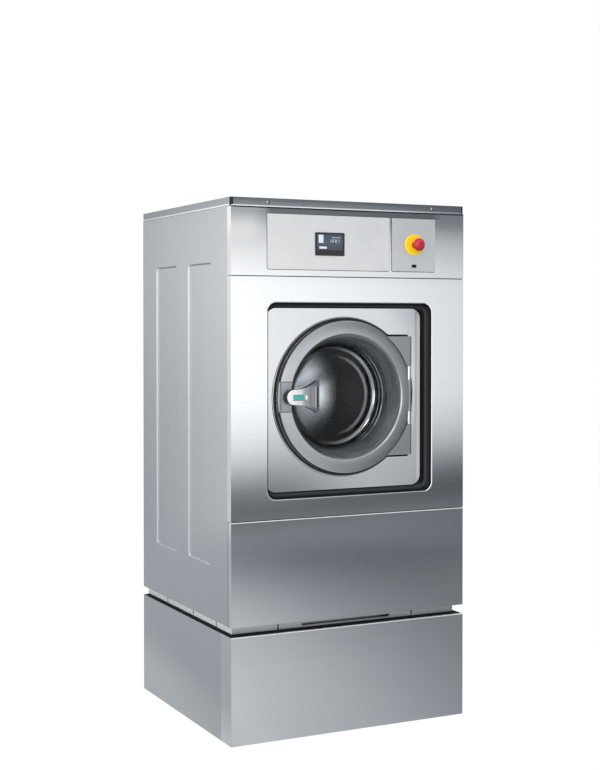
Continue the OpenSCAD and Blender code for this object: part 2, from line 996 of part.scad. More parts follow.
module stop_stem() {
    color("firebrick") {
        rod_y(stop_x, stop_z, head_back, stem_end, stop_stem_r);
        rod_y(stop_x, stop_z, head_back - spigot_l, head_back + cut, spigot_r);
    }
}

// A domed mushroom head with a socket for the stem's spigot
module stop_head() {
    front = head_back - head_t;
    color("red")
        difference() {
            turned(stop_x, stop_z)
                polygon(concat(
                    [[0, head_back - fit], [stop_head_r - 4, head_back - fit]],
                    [for (a = [-90:15:90]) [stop_head_r - 4 + 4 * cos(a), head_back - 4.2 - 4 * sin(a)]],
                    [[stop_head_r * 0.4, front + 0.6], [0, front]]
                ));
            rod_y(stop_x, stop_z, head_back - spigot_l - 0.3, head_back + cut, spigot_r + run);
        }
}

// Door

// The ring's crowned face, as points from its inner to its outer edge
function ring_face() = let (
    start = door_in_r + edge_r,
    width = door_r - edge_r - start,
    outer_d = door_face + ring_crown
) concat(
    [for (i = [0:6]) [start + i / 6 * width, door_face + ring_crown * i * i / 36]],
    [[door_r - 0.3 * edge_r, outer_d + 0.3 * edge_r], [door_r, outer_d + edge_r]]
);

module door_ring() {
    color("darkgray")
        difference() {
            union() {
                intersection() {
                    turned()
                        polygon(concat(
                            [[door_in_r, door_face + edge_r]],
                            ring_face(),
                            [
                                [door_r, door_back - edge_r],
                                [door_r - edge_r, door_back],
                                [seat_r, door_back],
                                [seat_r, seat_d],
                                [door_in_r, seat_d]
                            ]
                        ));
                    at_door()
                        slab([-2 * door_r, hinge_x], [0, pan_back], [-2 * door_r, 2 * door_r]);
                }
                for (side = [0, 1])
                    at_door()
                        mirror([0, 0, side])
                            hinge_lug();
                at_door()
                    rod_z(hinge_x, hinge_d, -lug_far, lug_far, hinge_end_r);
            }
            for (side = [0, 1])
                at_door()
                    mirror([0, 0, side])
                        slab([hinge_x - notch_depth, hinge_x + 2 * hinge_end_r], [0, pan_back],
                            [notch_near, lug_near]);
            at_door() {
                rod_z(hinge_x, hinge_d, -pin_far - 2, pin_far + 2, hinge_pin_r + run);
                slab([block_x - cut, block_x + block_w + fit], [door_face - cut, block_back],
                    [handle_rise - block_h / 2 - 0.3, handle_rise + block_h / 2 + 0.3]);
                slab([tongue_x - 0.3, tongue_x + tongue_t + 0.3], [door_face, pan_back],
                    [handle_rise - tongue_h / 2 - 0.3, handle_rise + tongue_h / 2 + 0.3]);
            }
        }
}

// The flat lug outside the ring, above the door axis
module hinge_lug() {
    difference() {
        slab([sqrt(door_r * door_r - lug_far * lug_far) - 6, hinge_x], [lug_face, door_back],
            [lug_near, lug_far]);
        rod_y(0, 0, 0, pan_back, door_r - 4);
    }
}

// The bowl's wall, offset outwards by t, as points from the rim to the axis
function bowl_wall(t) = let (
    corner = bowl_corner + t,
    end_d = bowl_end_d + t,
    middle_d = end_d - corner
) concat(
    [for (a = [bowl_lean:(90 - bowl_lean) / 6:90.001]) [
        bowl_end_r - bowl_corner + corner * cos(a),
        middle_d + corner * sin(a)
    ]],
    [[0, end_d]]
);

module door_glass() {
    outer = bowl_wall(glass_t);
    inner = bowl_wall(0);
    color([0.7, 0.8, 0.85, 0.4])
        turned()
            polygon(concat(
                [[rim_r, flange_d]],
                inner,
                [for (i = [len(outer) - 1:-1:0]) outer[i]],
                [
                    [rim_r + glass_t - (door_back - flange_d) * tan(bowl_lean), door_back],
                    [seat_r - 5.1, door_back],
                    [seat_r - 5.1, flange_d]
                ]
            ));
}

// Rubber channel that holds the bowl's rim in the ring
module glass_seal() {
    color([0.1, 0.1, 0.1])
        turned()
            polygon([
                [door_in_r - 5, lip_d],
                [door_in_r - fit, lip_d],
                [door_in_r - fit, seat_d + fit],
                [seat_r - fit, seat_d + fit],
                [seat_r - fit, door_back],
                [seat_r - 5, door_back],
                [seat_r - 5, flange_d - fit],
                [door_in_r - 5, flange_d - fit]
            ]);
}

module door_gasket() {
    color([0.08, 0.08, 0.08])
        difference() {
            turned()
                polygon([
                    [gasket_in_r, recess_depth],
                    [gasket_in_r, door_back + 0.8],
                    [bead_r - fit, door_back + 0.8],
                    [bead_r - fit, recess_depth]
                ]);
            latch_window(door_back, recess_depth + cut);
            for (side = [0, 1])
                at_door()
                    mirror([0, 0, side])
                        bracket_foot(fit, door_back, recess_depth + cut);
        }
}

module door_bead() {
    color("whitesmoke")
        turned()
            polygon([
                [bead_r, recess_depth],
                [bead_r, door_back + 2.4],
                [bead_r + bead_w / 3, door_back + 1.6],
                [bead_r + bead_w * 2 / 3, door_back + 2],
                [bead_r + bead_w, recess_depth]
            ]);
}

// Handle

module handle_block() {
    color("silver")
        difference() {
            union() {
                intersection() {
                    at_door()
                        slab([block_x, block_x + block_w], [door_face, block_back - fit],
                            [handle_rise - block_h / 2, handle_rise + block_h / 2]);
                    turned()
                        polygon(concat([[0, door_face]], ring_face(), [[door_r, door_back], [0, door_back]]));
                    rod_y(door_x, door_z, 0, pan_back, door_r - 0.3);
                }
                at_door() {
                    rod_y(pivot_x, handle_rise, pedestal_d, door_face + ring_crown + cut, lever_r - 4);
                    slab([pivot_x - ear_r, pivot_x + ear_r], [pivot_d, door_face + ring_crown + cut],
                        [handle_rise - ear_w / 2, handle_rise + ear_w / 2]);
                    rod_z(pivot_x, pivot_d, handle_rise - ear_w / 2, handle_rise + ear_w / 2, ear_r);
                    slab([tongue_x, tongue_x + tongue_t], [door_face + ring_crown + cut, tongue_end],
                        [handle_rise - tongue_h / 2, handle_rise + tongue_h / 2]);
                }
            }
            rod_y(door_x, door_z, door_face + edge_r, door_back, door_in_r + fit);
            rod_y(door_x, door_z, seat_d - fit, door_back, seat_r + fit);
            at_door() {
                rod_z(pivot_x, pivot_d, handle_rise - ear_w, handle_rise + ear_w, lever_pin_r + run);
                rod_x(tongue_x - cut, tongue_x + tongue_t + cut, bolt_d, handle_rise, bolt_r + 0.6);
            }
        }
}

module handle_pin() {
    reach = lever_r * 0.7;
    color("whitesmoke")
        at_door()
            rod_z(pivot_x, pivot_d, handle_rise - reach, handle_rise + reach, lever_pin_r);
}

// The lever seen from the front: a round end, hollow flanks and a wide straight tip
module lever_outline() {
    flare = lever_len - lever_lip;
    rise = lever_tip_h / 2 - lever_r;
    flank_r = (flare * flare + rise * rise) / (2 * rise);
    circle(lever_r);
    difference() {
        translate([0, -lever_tip_h / 2])
            square([lever_len, lever_tip_h]);
        for (side = [-1, 1])
            translate([0, side * (lever_r + flank_r)])
                circle(flank_r);
    }
}

// The bowed front of the lever, moved out by a thickness
module lever_bow(grow) {
    at_door()
        rod_z(lever_x, lever_front + lever_bow_r, handle_rise - lever_tip_h, handle_rise + lever_tip_h,
            lever_bow_r + grow);
}

module handle_lever() {
    groove_x = lever_x + lever_len - lever_lip;
    reach = lever_r * 0.7 + 0.3;
    color("silver")
        difference() {
            intersection() {
                translate([door_x + lever_x, 0, door_z + handle_rise])
                    plate(lever_front, lever_back)
                        lever_outline();
                lever_bow(0);
            }
            at_door() {
                slab([pivot_x - ear_slot, pivot_x + ear_slot], [pivot_d - ear_r - 1.5, lever_back + cut],
                    [handle_rise - ear_w / 2 - 0.3, handle_rise + ear_w / 2 + 0.3]);
                slab([groove_x, groove_x + groove_w], [lever_front - cut, lever_back - 5],
                    [handle_rise - lever_tip_h * 0.32, handle_rise + lever_tip_h * 0.32]);
                rod_z(pivot_x, pivot_d, handle_rise - reach, handle_rise + reach, lever_pin_r + run);
            }
        }
}

module handle_label() {
    w = 33;
    h = 16;
    start_x = lever_x - 2.5;
    color("lightseagreen")
        difference() {
            intersection() {
                at_door()
                    slab([start_x, start_x + w], [lever_front - cut, lever_back],
                        [handle_rise - h / 2 - 1, handle_rise + h / 2 - 1]);
                lever_bow(0.5);
            }
            lever_bow(0.02);
        }
}

// Hinge and lock

module bracket_foot(grow, d0, d1) {
    slab([hinge_x - 29 - grow, hinge_x + 2 + grow], [d0, d1],
        [notch_near + knuckle_gap - grow, lug_near - knuckle_gap + grow]);
}

module hinge_brackets() {
    z = [notch_near + knuckle_gap, lug_near - knuckle_gap];
    color("silver")
        for (side = [0, 1])
            at_door()
                mirror([0, 0, side])
                    difference() {
                        union() {
                            rod_z(hinge_x, hinge_d, z[0], z[1], knuckle_r);
                            slab([hinge_x - 4.5, hinge_x + 2], [hinge_d, recess_depth], z);
                            bracket_foot(0, door_back + 0.5, recess_depth);
                        }
                        rod_y(0, 0, 0, pan_back, opening_r + 0.5);
                        rod_z(hinge_x, hinge_d, z[0] - cut, z[1] + cut, hinge_pin_r + run / 2);
                    }
}

module hinge_pins() {
    color("whitesmoke")
        for (side = [0, 1])
            at_door()
                mirror([0, 0, side])
                    rod_z(hinge_x, hinge_d, pin_near, pin_far, hinge_pin_r);
}

module door_lock() {
    color("dimgray")
        at_door()
            difference() {
                slab([lock_x - lock_w, lock_x], [pan_back, lock_d],
                    [handle_rise - lock_h / 2, handle_rise + lock_h / 2]);
                rod_x(lock_x - lock_w + 3, lock_x + cut, bolt_d, handle_rise, bolt_r + run);
            }
}

module lock_bolt() {
    color("whitesmoke")
        at_door()
            rod_x(lock_x - lock_w + 4, tongue_x + tongue_t - cut - bolt_travel, bolt_d, handle_rise, bolt_r);
}

// Tub

module door_sleeve() {
    wide = sleeve_r + 12;
    fold = sleeve_l / 4;
    color([0.12, 0.12, 0.12])
        turned()
            polygon([
                [sleeve_lip_r, pan_back],
                [wide, pan_back],
                [wide, pan_back + fold],
                [wide - 6, pan_back + 1.6 * fold],
                [wide - 6, pan_back + 2.4 * fold],
                [wide, pan_back + 3 * fold],
                [wide, tub_front],
                [sleeve_r, tub_front],
                [sleeve_r, pan_back + 3 * fold],
                [sleeve_r + 3, pan_back + 2 * fold],
                [sleeve_r, pan_back + fold],
                [sleeve_lip_r, pan_back + 2]
            ]);
}

module tub_front_plate() {
    color("lightgray")
        turned()
            polygon([
                [sleeve_r, tub_front],
                [tub_r, tub_front],
                [tub_r, tub_front + tub_t],
                [sleeve_r, tub_front + tub_t]
            ]);
}

module tub_shell() {
    start = tub_front + tub_t;
    color("lightgray")
        difference() {
            union() {
                rod_y(door_x, door_z, start, tub_end, tub_r);
                rod_z(drain_x, drain_d, sump_z, door_z, sump_r);
            }
            rod_y(door_x, door_z, start - cut, tub_back, tub_r - tub_t);
            rod_z(drain_x, drain_d, sump_z - cut, door_z - tub_r / 2, sump_r - sump_t);
            rod_y(door_x, door_z, tub_back - cut, tub_end + cut, seal_r + fit);
            rod_y(fill_x, fill_z, tub_back - cut, tub_end + cut, fill_r - 3);
        }
}

// An upright plate whose top carries the tub, with a foot along the deck
module tub_cradle(d) {
    difference() {
        union() {
            slab([-cradle_half, cradle_half], [d, d + cradle_t], [z_deck, door_z - 0.5 * tub_r]);
            slab([-cradle_half, cradle_half], [d - cradle_foot, d + cradle_t], [z_deck, z_deck + cradle_t]);
        }
        rod_y(door_x, door_z, d - cut, d + cradle_t + cut, tub_r + fit);
    }
}

module tub_cradles() {
    color("gray")
        difference() {
            union() {
                tub_cradle(cradle_front);
                tub_cradle(cradle_rear);
            }
            rod_y(drain_x, drain_z, cradle_rear - cradle_foot - cut, cradle_rear + cradle_t + cut, drain_r + clear);
            rod_y(motor_x, motor_z, cradle_rear - cut, cradle_rear + cradle_t + cut, motor_shaft_r + 8);
        }
}

module bearing_housing() {
    color("slategray")
        difference() {
            union() {
                rod_y(door_x, door_z, tub_end, tub_end + housing_flange, bearing_r + housing_flange_w);
                rod_y(door_x, door_z, tub_end, housing_end, bearing_r + housing_wall);
                for (a = [0:60:300])
                    translate([door_x, 0, door_z])
                        rotate([0, a, 0])
                            slab([0, bearing_r + rib_reach], [tub_end, housing_end - rib_stop], [-rib_w / 2, rib_w / 2]);
            }
            rod_y(door_x, door_z, tub_end - cut, housing_end + cut, seal_r + fit);
            rod_y(door_x, door_z, tub_end + housing_flange, housing_end + cut, bearing_r + run / 2);
        }
}

// A ball bearing with shields set in between its two rings
module bearing(d) {
    middle = (shaft_r + bearing_r) / 2;
    turned()
        polygon([
            [shaft_r + run, d],
            [middle - 6, d],
            [middle - 6, d + 1],
            [middle + 6, d + 1],
            [middle + 6, d],
            [bearing_r, d],
            [bearing_r, d + bearing_w],
            [middle + 6, d + bearing_w],
            [middle + 6, d + bearing_w - 1],
            [middle - 6, d + bearing_w - 1],
            [middle - 6, d + bearing_w],
            [shaft_r + run, d + bearing_w]
        ]);
}

module shaft_bearings() {
    color("whitesmoke") {
        bearing(bearing_front);
        bearing(bearing_rear);
    }
}

module shaft_seal() {
    color([0.15, 0.15, 0.15])
        turned()
            polygon([
                [shaft_r + run, tub_back],
                [seal_r, tub_back],
                [seal_r, tub_back + seal_l],
                [shaft_r + run, tub_back + seal_l]
            ]);
}

// Drum

module drum_shell() {
    color("gainsboro")
        turned()
            polygon([
                [drum_r - drum_t, drum_front_d + drum_t],
                [drum_r, drum_front_d + drum_t],
                [drum_r, drum_back],
                [0, drum_back],
                [0, drum_back - drum_t],
                [drum_r - drum_t, drum_back - drum_t]
            ]);
}

// The drum's front wall with a turned-in lip round the mouth
module drum_front() {
    lip = 9;
    color("gainsboro")
        turned()
            polygon([
                [mouth_r, drum_front_d],
                [drum_r, drum_front_d],
                [drum_r, drum_front_d + drum_t],
                [mouth_r + drum_t, drum_front_d + drum_t],
                [mouth_r + drum_t, drum_front_d + lip],
                [mouth_r, drum_front_d + lip]
            ]);
}

// A lifter's cross-section, drawn smaller by a wall
module lifter_section(base, wall) {
    polygon([
        [-lifter_w / 2 + 2 * wall, base + 4],
        [lifter_w / 2 - 2 * wall, base + 4],
        [lifter_w / 6 - wall, base - lifter_h + wall],
        [-lifter_w / 6 + wall, base - lifter_h + wall]
    ]);
}

module drum_lifters() {
    base = drum_r - drum_t - fit;
    start = drum_front_d + 18;
    end = drum_back - drum_t - 8;
    color("silver")
        intersection() {
            for (i = [0:lifter_count - 1])
                translate([door_x, 0, door_z])
                    rotate([0, i * 360 / lifter_count, 0])
                        difference() {
                            plate(start, end)
                                lifter_section(base, 0);
                            plate(start + lifter_t, end - lifter_t)
                                lifter_section(base, lifter_t);
                        }
            rod_y(door_x, door_z, 0, cab_d, base);
        }
}

// The spider that carries the drum's rear wall, forged with the shaft
module drum_spider() {
    hub_end = drum_back + spider_t + 8;
    shaft_end = pulley_end + 4;
    thread_r = shaft_r / 3;
    color("slategray") {
        turned()
            polygon([
                [0, drum_back],
                [hub_r, drum_back],
                [hub_r, hub_end],
                [shaft_r, hub_end],
                [shaft_r, shaft_end],
                [thread_r, shaft_end],
                [thread_r, pulley_end - 20],
                [0, pulley_end - 20]
            ]);
        for (a = [30:120:270])
            translate([door_x, 0, door_z])
                rotate([0, a, 0])
                    slab([hub_r - 20, drum_r - 6], [drum_back, drum_back + spider_t], [-32, 32]);
    }
}

module drum_pulley() {
    web = 8;
    mid = pulley_d + pulley_w / 2;
    color("darkgray")
        difference() {
            turned()
                polygon([
                    [shaft_r + fit / 2, pulley_d],
                    [shaft_r + 20, pulley_d],
                    [shaft_r + 20, mid - web / 2],
                    [pulley_r - rim_t, mid - web / 2],
                    [pulley_r - rim_t, pulley_d],
                    [pulley_r, pulley_d],
                    [pulley_r, pulley_end],
                    [pulley_r - rim_t, pulley_end],
                    [pulley_r - rim_t, mid + web / 2],
                    [shaft_r + 20, mid + web / 2],
                    [shaft_r + 20, pulley_end],
                    [shaft_r + fit / 2, pulley_end]
                ]);
            for (a = [0:60:300])
                translate([door_x, 0, door_z])
                    rotate([0, a, 0])
                        rod_y((shaft_r + 20 + pulley_r - rim_t) / 2, 0, pulley_d, pulley_end,
                            (pulley_r - rim_t - shaft_r - 20) * 0.36);
        }
}

// Drive

module motor_body() {
    cap = 14;
    color("steelblue")
        difference() {
            union() {
                rod_y(motor_x, motor_z, motor_d, motor_d + cap, motor_r);
                rod_y(motor_x, motor_z, motor_d + cap, motor_end - cap, motor_r - 8);
                rod_y(motor_x, motor_z, motor_end - cap, motor_end, motor_r - 3);
                for (a = [0:15:345])
                    translate([motor_x, 0, motor_z])
                        rotate([0, a, 0])
                            slab([motor_r - 12, motor_r - 3], [motor_d + cap - cut, motor_end - cap + cut],
                                [-1.5, 1.5]);
            }
            rod_y(motor_x, motor_z, motor_d + 6, motor_end + cut, motor_shaft_r + run);
        }
}

module motor_pulley() {
    flange = 3;
    color("whitesmoke") {
        rod_y(motor_x, motor_z, motor_d + 8, pulley_d + cut, motor_shaft_r);
        rod_y(motor_x, motor_z, pulley_d, pulley_end, motor_pulley_r);
        rod_y(motor_x, motor_z, pulley_d - flange, pulley_d, motor_pulley_r + belt_t);
        rod_y(motor_x, motor_z, pulley_end, pulley_end + flange, motor_pulley_r + belt_t);
    }
}

// The two pulleys' outline with the straight runs between them
module belt_outline(grow) {
    hull() {
        translate([door_x, door_z])
            circle(pulley_r + grow, $fn = 128);
        translate([motor_x, motor_z])
            circle(motor_pulley_r + grow, $fn = 64);
    }
}

module drive_belt() {
    color([0.1, 0.1, 0.1])
        plate(pulley_d + 2, pulley_end - 2)
            difference() {
                belt_outline(belt_gap + belt_t);
                belt_outline(belt_gap);
            }
}

// Water

module drain_valve() {
    bore = drain_r - drain_t;
    color("dimgray")
        difference() {
            union() {
                slab([drain_x - valve_side / 2, drain_x + valve_side / 2],
                    [drain_d - valve_side / 2, drain_d + valve_side / 2], [z_deck, drain_z + drain_r + 6]);
                rod_z(drain_x, drain_d, drain_z, sump_z, sump_r + 4);
                rod_y(drain_x, drain_z, drain_d, cab_d, drain_r - neck);
                rod_y(drain_x, drain_z, cab_d, cab_d + drain_out, drain_r);
                slab([drain_x - actuator_side / 2, drain_x + actuator_side / 2],
                    [valve_d - actuator_side / 2, valve_d + actuator_side / 2],
                    [drain_z + drain_r - drain_t, drain_z + drain_r - drain_t + actuator_h]);
            }
            rod_z(drain_x, drain_d, drain_z, sump_z + cut, sump_r - sump_t);
            rod_y(drain_x, drain_z, drain_d, cab_d + drain_out + cut, bore);
            rod_z(drain_x, valve_d, drain_z, spindle_top + 4, spindle_r + run);
        }
}

module drain_disc() {
    color("peru") {
        rod_x(drain_x - disc_t / 2, drain_x + disc_t / 2, valve_d, drain_z, disc_r);
        rod_z(drain_x, valve_d, drain_z - disc_r / 2, spindle_top, spindle_r);
    }
}

module inlet_valves() {
    inner = cab_d - sheet;
    color("royalblue")
        for (i = [0, 1])
            translate([inlet_x + i * inlet_pitch, 0, inlet_z])
                difference() {
                    union() {
                        slab([-inlet_body[0] / 2, inlet_body[0] / 2], [inner - inlet_body[1], inner],
                            [-inlet_body[2] / 2, inlet_body[2] / 2]);
                        rod_y(0, 0, inner - cut, cab_d, inlet_r - neck);
                        rod_y(0, 0, cab_d, cab_d + inlet_out, inlet_r);
                        rod_z(0, inner - inlet_body[1] / 2, 0, inlet_body[2] / 2 + 30, 16);
                    }
                    rod_y(0, 0, inner - 10, cab_d + inlet_out + cut, inlet_r - 4);
                }
}

// From the valves down behind the tub and forward through its rear wall
module fill_pipe() {
    low = inlet_z - inlet_body[2] / 2;
    wall = 3;
    color("lightsteelblue")
        difference() {
            union() {
                rod_z(fill_x, fill_d, fill_z, low, fill_r);
                rod_y(fill_x, fill_z, tub_end, fill_d, fill_r);
                translate([fill_x, front_y + fill_d, fill_z])
                    sphere(fill_r);
                slab([fill_x, fill_x + inlet_pitch + fill_r], [fill_d - fill_r + 2, fill_d + fill_r - 2],
                    [low - 2 * fill_r, low]);
            }
            rod_z(fill_x, fill_d, fill_z, low + cut, fill_r - wall);
            rod_y(fill_x, fill_z, tub_end - cut, fill_d, fill_r - wall);
        }
}

module mains_gland() {
    color("dimgray")
        difference() {
            union() {
                rod_y(gland_x, gland_z, cab_d - gland_in, cab_d + gland_out, gland_body_r);
                translate([gland_x, front_y + cab_d, gland_z])
                    rotate([-90, 0, 0])
                        cylinder(h = 8, r = gland_body_r + 6, $fn = 6);
                translate([gland_x, front_y + cab_d - sheet - 6, gland_z])
                    rotate([-90, 0, 0])
                        cylinder(h = 6, r = gland_body_r + 6, $fn = 6);
            }
            rod_y(gland_x, gland_z, cab_d - gland_in - cut, cab_d + gland_out + cut, gland_r);
        }
}

plinth_front();
plinth_left();
plinth_right();
plinth_rear();
plinth_posts();
base_front_rail();
base_rails();
base_deck();
cabinet_frame();
left_side_panel();
right_side_panel();
rear_panel();
front_panel();
recess_pan();
lower_front_panel();
control_fascia();
top_cover();
case_screws();
display_plate();
stop_plate();
display_housing();
display_screen();
data_socket();
stop_collar();
stop_contacts();
stop_stem();
stop_head();
door_ring();
door_glass();
glass_seal();
door_gasket();
door_bead();
handle_block();
handle_pin();
handle_lever();
handle_label();
hinge_brackets();
hinge_pins();
door_lock();
lock_bolt();
door_sleeve();
tub_shell();
tub_front_plate();
tub_cradles();
bearing_housing();
shaft_bearings();
shaft_seal();
drum_shell();
drum_front();
drum_lifters();
drum_spider();
drum_pulley();
motor_body();
motor_pulley();
drive_belt();
drain_valve();
drain_disc();
inlet_valves();
fill_pipe();
mains_gland();
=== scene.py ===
# %% [markdown]
# # A front-loading laundry machine in brushed stainless steel
# The solid model already holds every piece at its real size, so this script dresses it: it sets the camera,
# gives each surface its finish, and adds the small things that a solid model leaves out, such as the
# punched drum, screw recesses and what the screen shows. Everything is in metres, with the door facing -Y.

# %% Load the solid model
import bpy
import bmesh
import json
import math
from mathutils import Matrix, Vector

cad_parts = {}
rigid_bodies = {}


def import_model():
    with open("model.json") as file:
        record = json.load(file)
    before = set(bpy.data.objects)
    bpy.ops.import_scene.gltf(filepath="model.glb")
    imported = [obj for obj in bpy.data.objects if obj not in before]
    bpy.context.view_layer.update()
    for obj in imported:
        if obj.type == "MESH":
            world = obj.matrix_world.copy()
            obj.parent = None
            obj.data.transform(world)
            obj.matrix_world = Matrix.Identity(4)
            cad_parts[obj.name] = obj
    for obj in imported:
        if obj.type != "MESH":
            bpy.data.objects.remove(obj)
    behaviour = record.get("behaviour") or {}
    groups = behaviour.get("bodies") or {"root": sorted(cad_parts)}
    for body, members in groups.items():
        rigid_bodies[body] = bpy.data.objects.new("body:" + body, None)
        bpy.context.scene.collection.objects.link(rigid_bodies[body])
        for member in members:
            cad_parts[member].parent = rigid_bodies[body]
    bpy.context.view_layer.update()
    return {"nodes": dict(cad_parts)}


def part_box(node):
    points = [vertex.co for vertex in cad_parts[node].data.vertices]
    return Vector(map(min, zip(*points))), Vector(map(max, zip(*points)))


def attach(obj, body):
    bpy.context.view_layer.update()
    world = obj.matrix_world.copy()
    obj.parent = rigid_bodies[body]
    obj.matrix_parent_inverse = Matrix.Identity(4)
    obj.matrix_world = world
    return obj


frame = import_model()
nodes = frame["nodes"]

# %% [markdown]
# ## The camera
# The photograph was taken from the front left, a little below the machine's top, with a fairly long lens.
# The numbers come from fitting a pinhole camera to the cabinet's corners. The small downward shift keeps
# the upright edges parallel, as the photographer did.

# %% Place the camera
TILT_DOWN = 0.929
TURN_RIGHT = 26.317
camera_data = bpy.data.cameras.new("camera")
camera_data.sensor_width = 36.0
camera_data.lens = 65.19
camera_data.shift_y = -0.0518
camera = bpy.data.objects.new("camera", camera_data)
camera.location = (-1.76527, -3.58331, 1.08728)
camera.rotation_euler = (math.radians(90 - TILT_DOWN), 0, math.radians(-TURN_RIGHT))
bpy.context.collection.objects.link(camera)
bpy.context.scene.camera = camera
bpy.context.scene.view_settings.view_transform = "Standard"
print("camera at", tuple(round(v, 3) for v in camera.location))

# %% [markdown]
# ## Writing finishes as expressions
# A finish is a small graph of shader nodes. Wrapping a socket in a class with overloaded operators lets the
# graph be written as plain arithmetic, such as `1 - streak * 0.2`, and one method makes every other kind of
# node. The Geometry Nodes trees further down are written with the same two classes.

# %% A socket that takes part in arithmetic
class Wire:
    def __init__(self, graph, socket):
        self.graph = graph
        self.socket = socket

    def beside(self, out):
        return Wire(self.graph, self.socket.node.outputs[out])

    def __add__(self, other):
        return self.graph.math("ADD", self, other)

    def __sub__(self, other):
        return self.graph.math("SUBTRACT", self, other)

    def __mul__(self, other):
        return self.graph.math("MULTIPLY", self, other)

    def __pow__(self, other):
        return self.graph.math("POWER", self, other)

    def __rsub__(self, other):
        return self.graph.math("SUBTRACT", other, self)

    __radd__ = __add__
    __rmul__ = __mul__


# %% A graph and the one method that makes its nodes
X, Y, Z = range(3)


def set_ramp(ramp, stops):
    while len(ramp.elements) > 1:
        ramp.elements.remove(ramp.elements[-1])
    ramp.elements[0].position = stops[0][0]
    ramp.elements[0].color = stops[0][1]
    for position, colour in stops[1:]:
        ramp.elements.new(position).color = colour


class Graph:
    def __init__(self, tree):
        self.tree = tree

    def node(self, kind, settings=None, inputs=None, out=0):
        made = self.tree.nodes.new(kind)
        for key, value in (settings or {}).items():
            if key == "stops":
                set_ramp(made.color_ramp, value)
            else:
                setattr(made, key, value)
        for key, value in (inputs or {}).items():
            if isinstance(value, Wire):
                self.tree.links.new(value.socket, made.inputs[key])
            else:
                made.inputs[key].default_value = value
        return Wire(self, made.outputs[out])

    def math(self, operation, *values):
        return self.node("ShaderNodeMath", {"operation": operation}, dict(enumerate(values)))

    def split(self, vector):
        parts = self.node("ShaderNodeSeparateXYZ", None, {0: vector})
        return [parts.beside(index) for index in (X, Y, Z)]

    def join(self, x, y, z):
        return self.node("ShaderNodeCombineXYZ", None, {X: x, Y: y, Z: z})


# %% A finish, with short names for what finishes often need
NORMAL = 1
OBJECT = 3


def grey(level):
    cool = 0.10 * (1 - min(level / 0.95, 1))
    return (level * (1 - cool), level, level * (1 + cool), 1)


class Finish(Graph):
    def __init__(self, name, world=None):
        self.material = bpy.data.materials.new(name) if world is None else world
        self.material.use_nodes = True
        super().__init__(self.material.node_tree)
        self.tree.nodes.clear()
        kind = "ShaderNodeOutputMaterial" if world is None else "ShaderNodeOutputWorld"
        self.output = self.tree.nodes.new(kind)

    def place(self, scale=(1, 1, 1)):
        coords = self.node("ShaderNodeTexCoord", out=OBJECT)
        return self.node("ShaderNodeMapping", None, {0: coords, 3: scale})

    def noise(self, scale, detail=4.0, rough=0.6, stretch=(1, 1, 1)):
        inputs = {"Vector": self.place(stretch), "Scale": scale, "Detail": detail, "Roughness": rough}
        return self.node("ShaderNodeTexNoise", None, inputs)

    def ramp(self, value, stops):
        return self.node("ShaderNodeValToRGB", {"stops": stops}, {0: value})

    def greys(self, value, *levels):
        return self.ramp(value, [(place, grey(level)) for place, level in levels])

    def blend(self, amount, first, second, kind="MIX"):
        settings = {"data_type": "RGBA", "blend_type": kind}
        return self.node("ShaderNodeMix", settings, {0: amount, 6: first, 7: second}, out=2)

    def bump(self, height, strength, distance):
        inputs = {"Height": height, "Strength": strength, "Distance": distance}
        return self.node("ShaderNodeBump", None, inputs)

    def maximum(self, first, second):
        return self.math("MAXIMUM", first, second)

    def absolute(self, value):
        return self.math("ABSOLUTE", value)

    def along(self, index):
        return self.split(self.node("ShaderNodeTexCoord", out=OBJECT))[index]

    def facing(self, index):
        return self.split(self.node("ShaderNodeTexCoord", out=NORMAL))[index]

    def step(self, value, low, high):
        inputs = {0: value, 1: low, 2: high, 3: 0.0, 4: 1.0}
        return self.node("ShaderNodeMapRange", {"interpolation_type": "SMOOTHSTEP"}, inputs)

    def band(self, value, rise, fall):
        return self.step(value, *rise) * (1 - self.step(value, *fall))

    def ahead(self, low, high):
        return self.step(self.facing(Y) * -1, low, high)

    def aside(self, low, high):
        return self.step(self.absolute(self.facing(X)), low, high)

    def surface(self, shader):
        self.tree.links.new(shader.socket, self.output.inputs[0])
        return self.material

    def shader(self, **sockets):
        named = {key.replace("_", " "): value for key, value in sockets.items()}
        return self.node("ShaderNodeBsdfPrincipled", None, named)

    def principled(self, **sockets):
        return self.surface(self.shader(**sockets))

    def mix(self, amount, first, second):
        return self.node("ShaderNodeMixShader", None, {0: amount, 1: first, 2: second})


def wear(nodes_named, material):
    for name in nodes_named:
        for slot in nodes[name].material_slots:
            slot.material = material
    print(material.name, "on", len(nodes_named), "nodes")


# %% [markdown]
# ## Brushed stainless steel
# The sheets are brushed in one direction: along the width on the front, up and down on the sides. The lines
# are far finer than a pixel from here, so they show as faint streaks of tone and roughness and as a soft,
# stretched reflection. Noise that is squeezed across the brushing and drawn out along it gives those
# streaks, with a broad slow noise for handling marks.

# %% A brushed sheet
ACROSS = (4, 4, 620)
UPRIGHT = (620, 620, 4)
BRUSH_DEPTH = 0.0004


def brush_marks(f, stretch):
    fine = f.noise(1.0, 6.0, 0.7, stretch)
    broad = f.noise(0.05, 3.0, 0.6, stretch)
    return fine * 0.75 + broad * 0.25


def brushed(name, stretch, tone, rough, shade=None, relief=0.03, matt=None):
    f = Finish(name)
    marks = brush_marks(f, stretch)
    smudge = f.noise(3.2, 5.0, 0.65)
    colour = f.greys(marks, (0.3, tone * 0.96), (0.7, tone * 1.03))
    if shade:
        colour = shade(f, colour)
    metal = 1 - matt(f) if matt else 1.0
    roughness = marks * 0.05 + smudge * 0.05 + (rough - 0.05)
    normal = f.bump(marks, relief, BRUSH_DEPTH)
    return f.principled(Base_Color=colour, Metallic=metal, Roughness=roughness, Normal=normal)


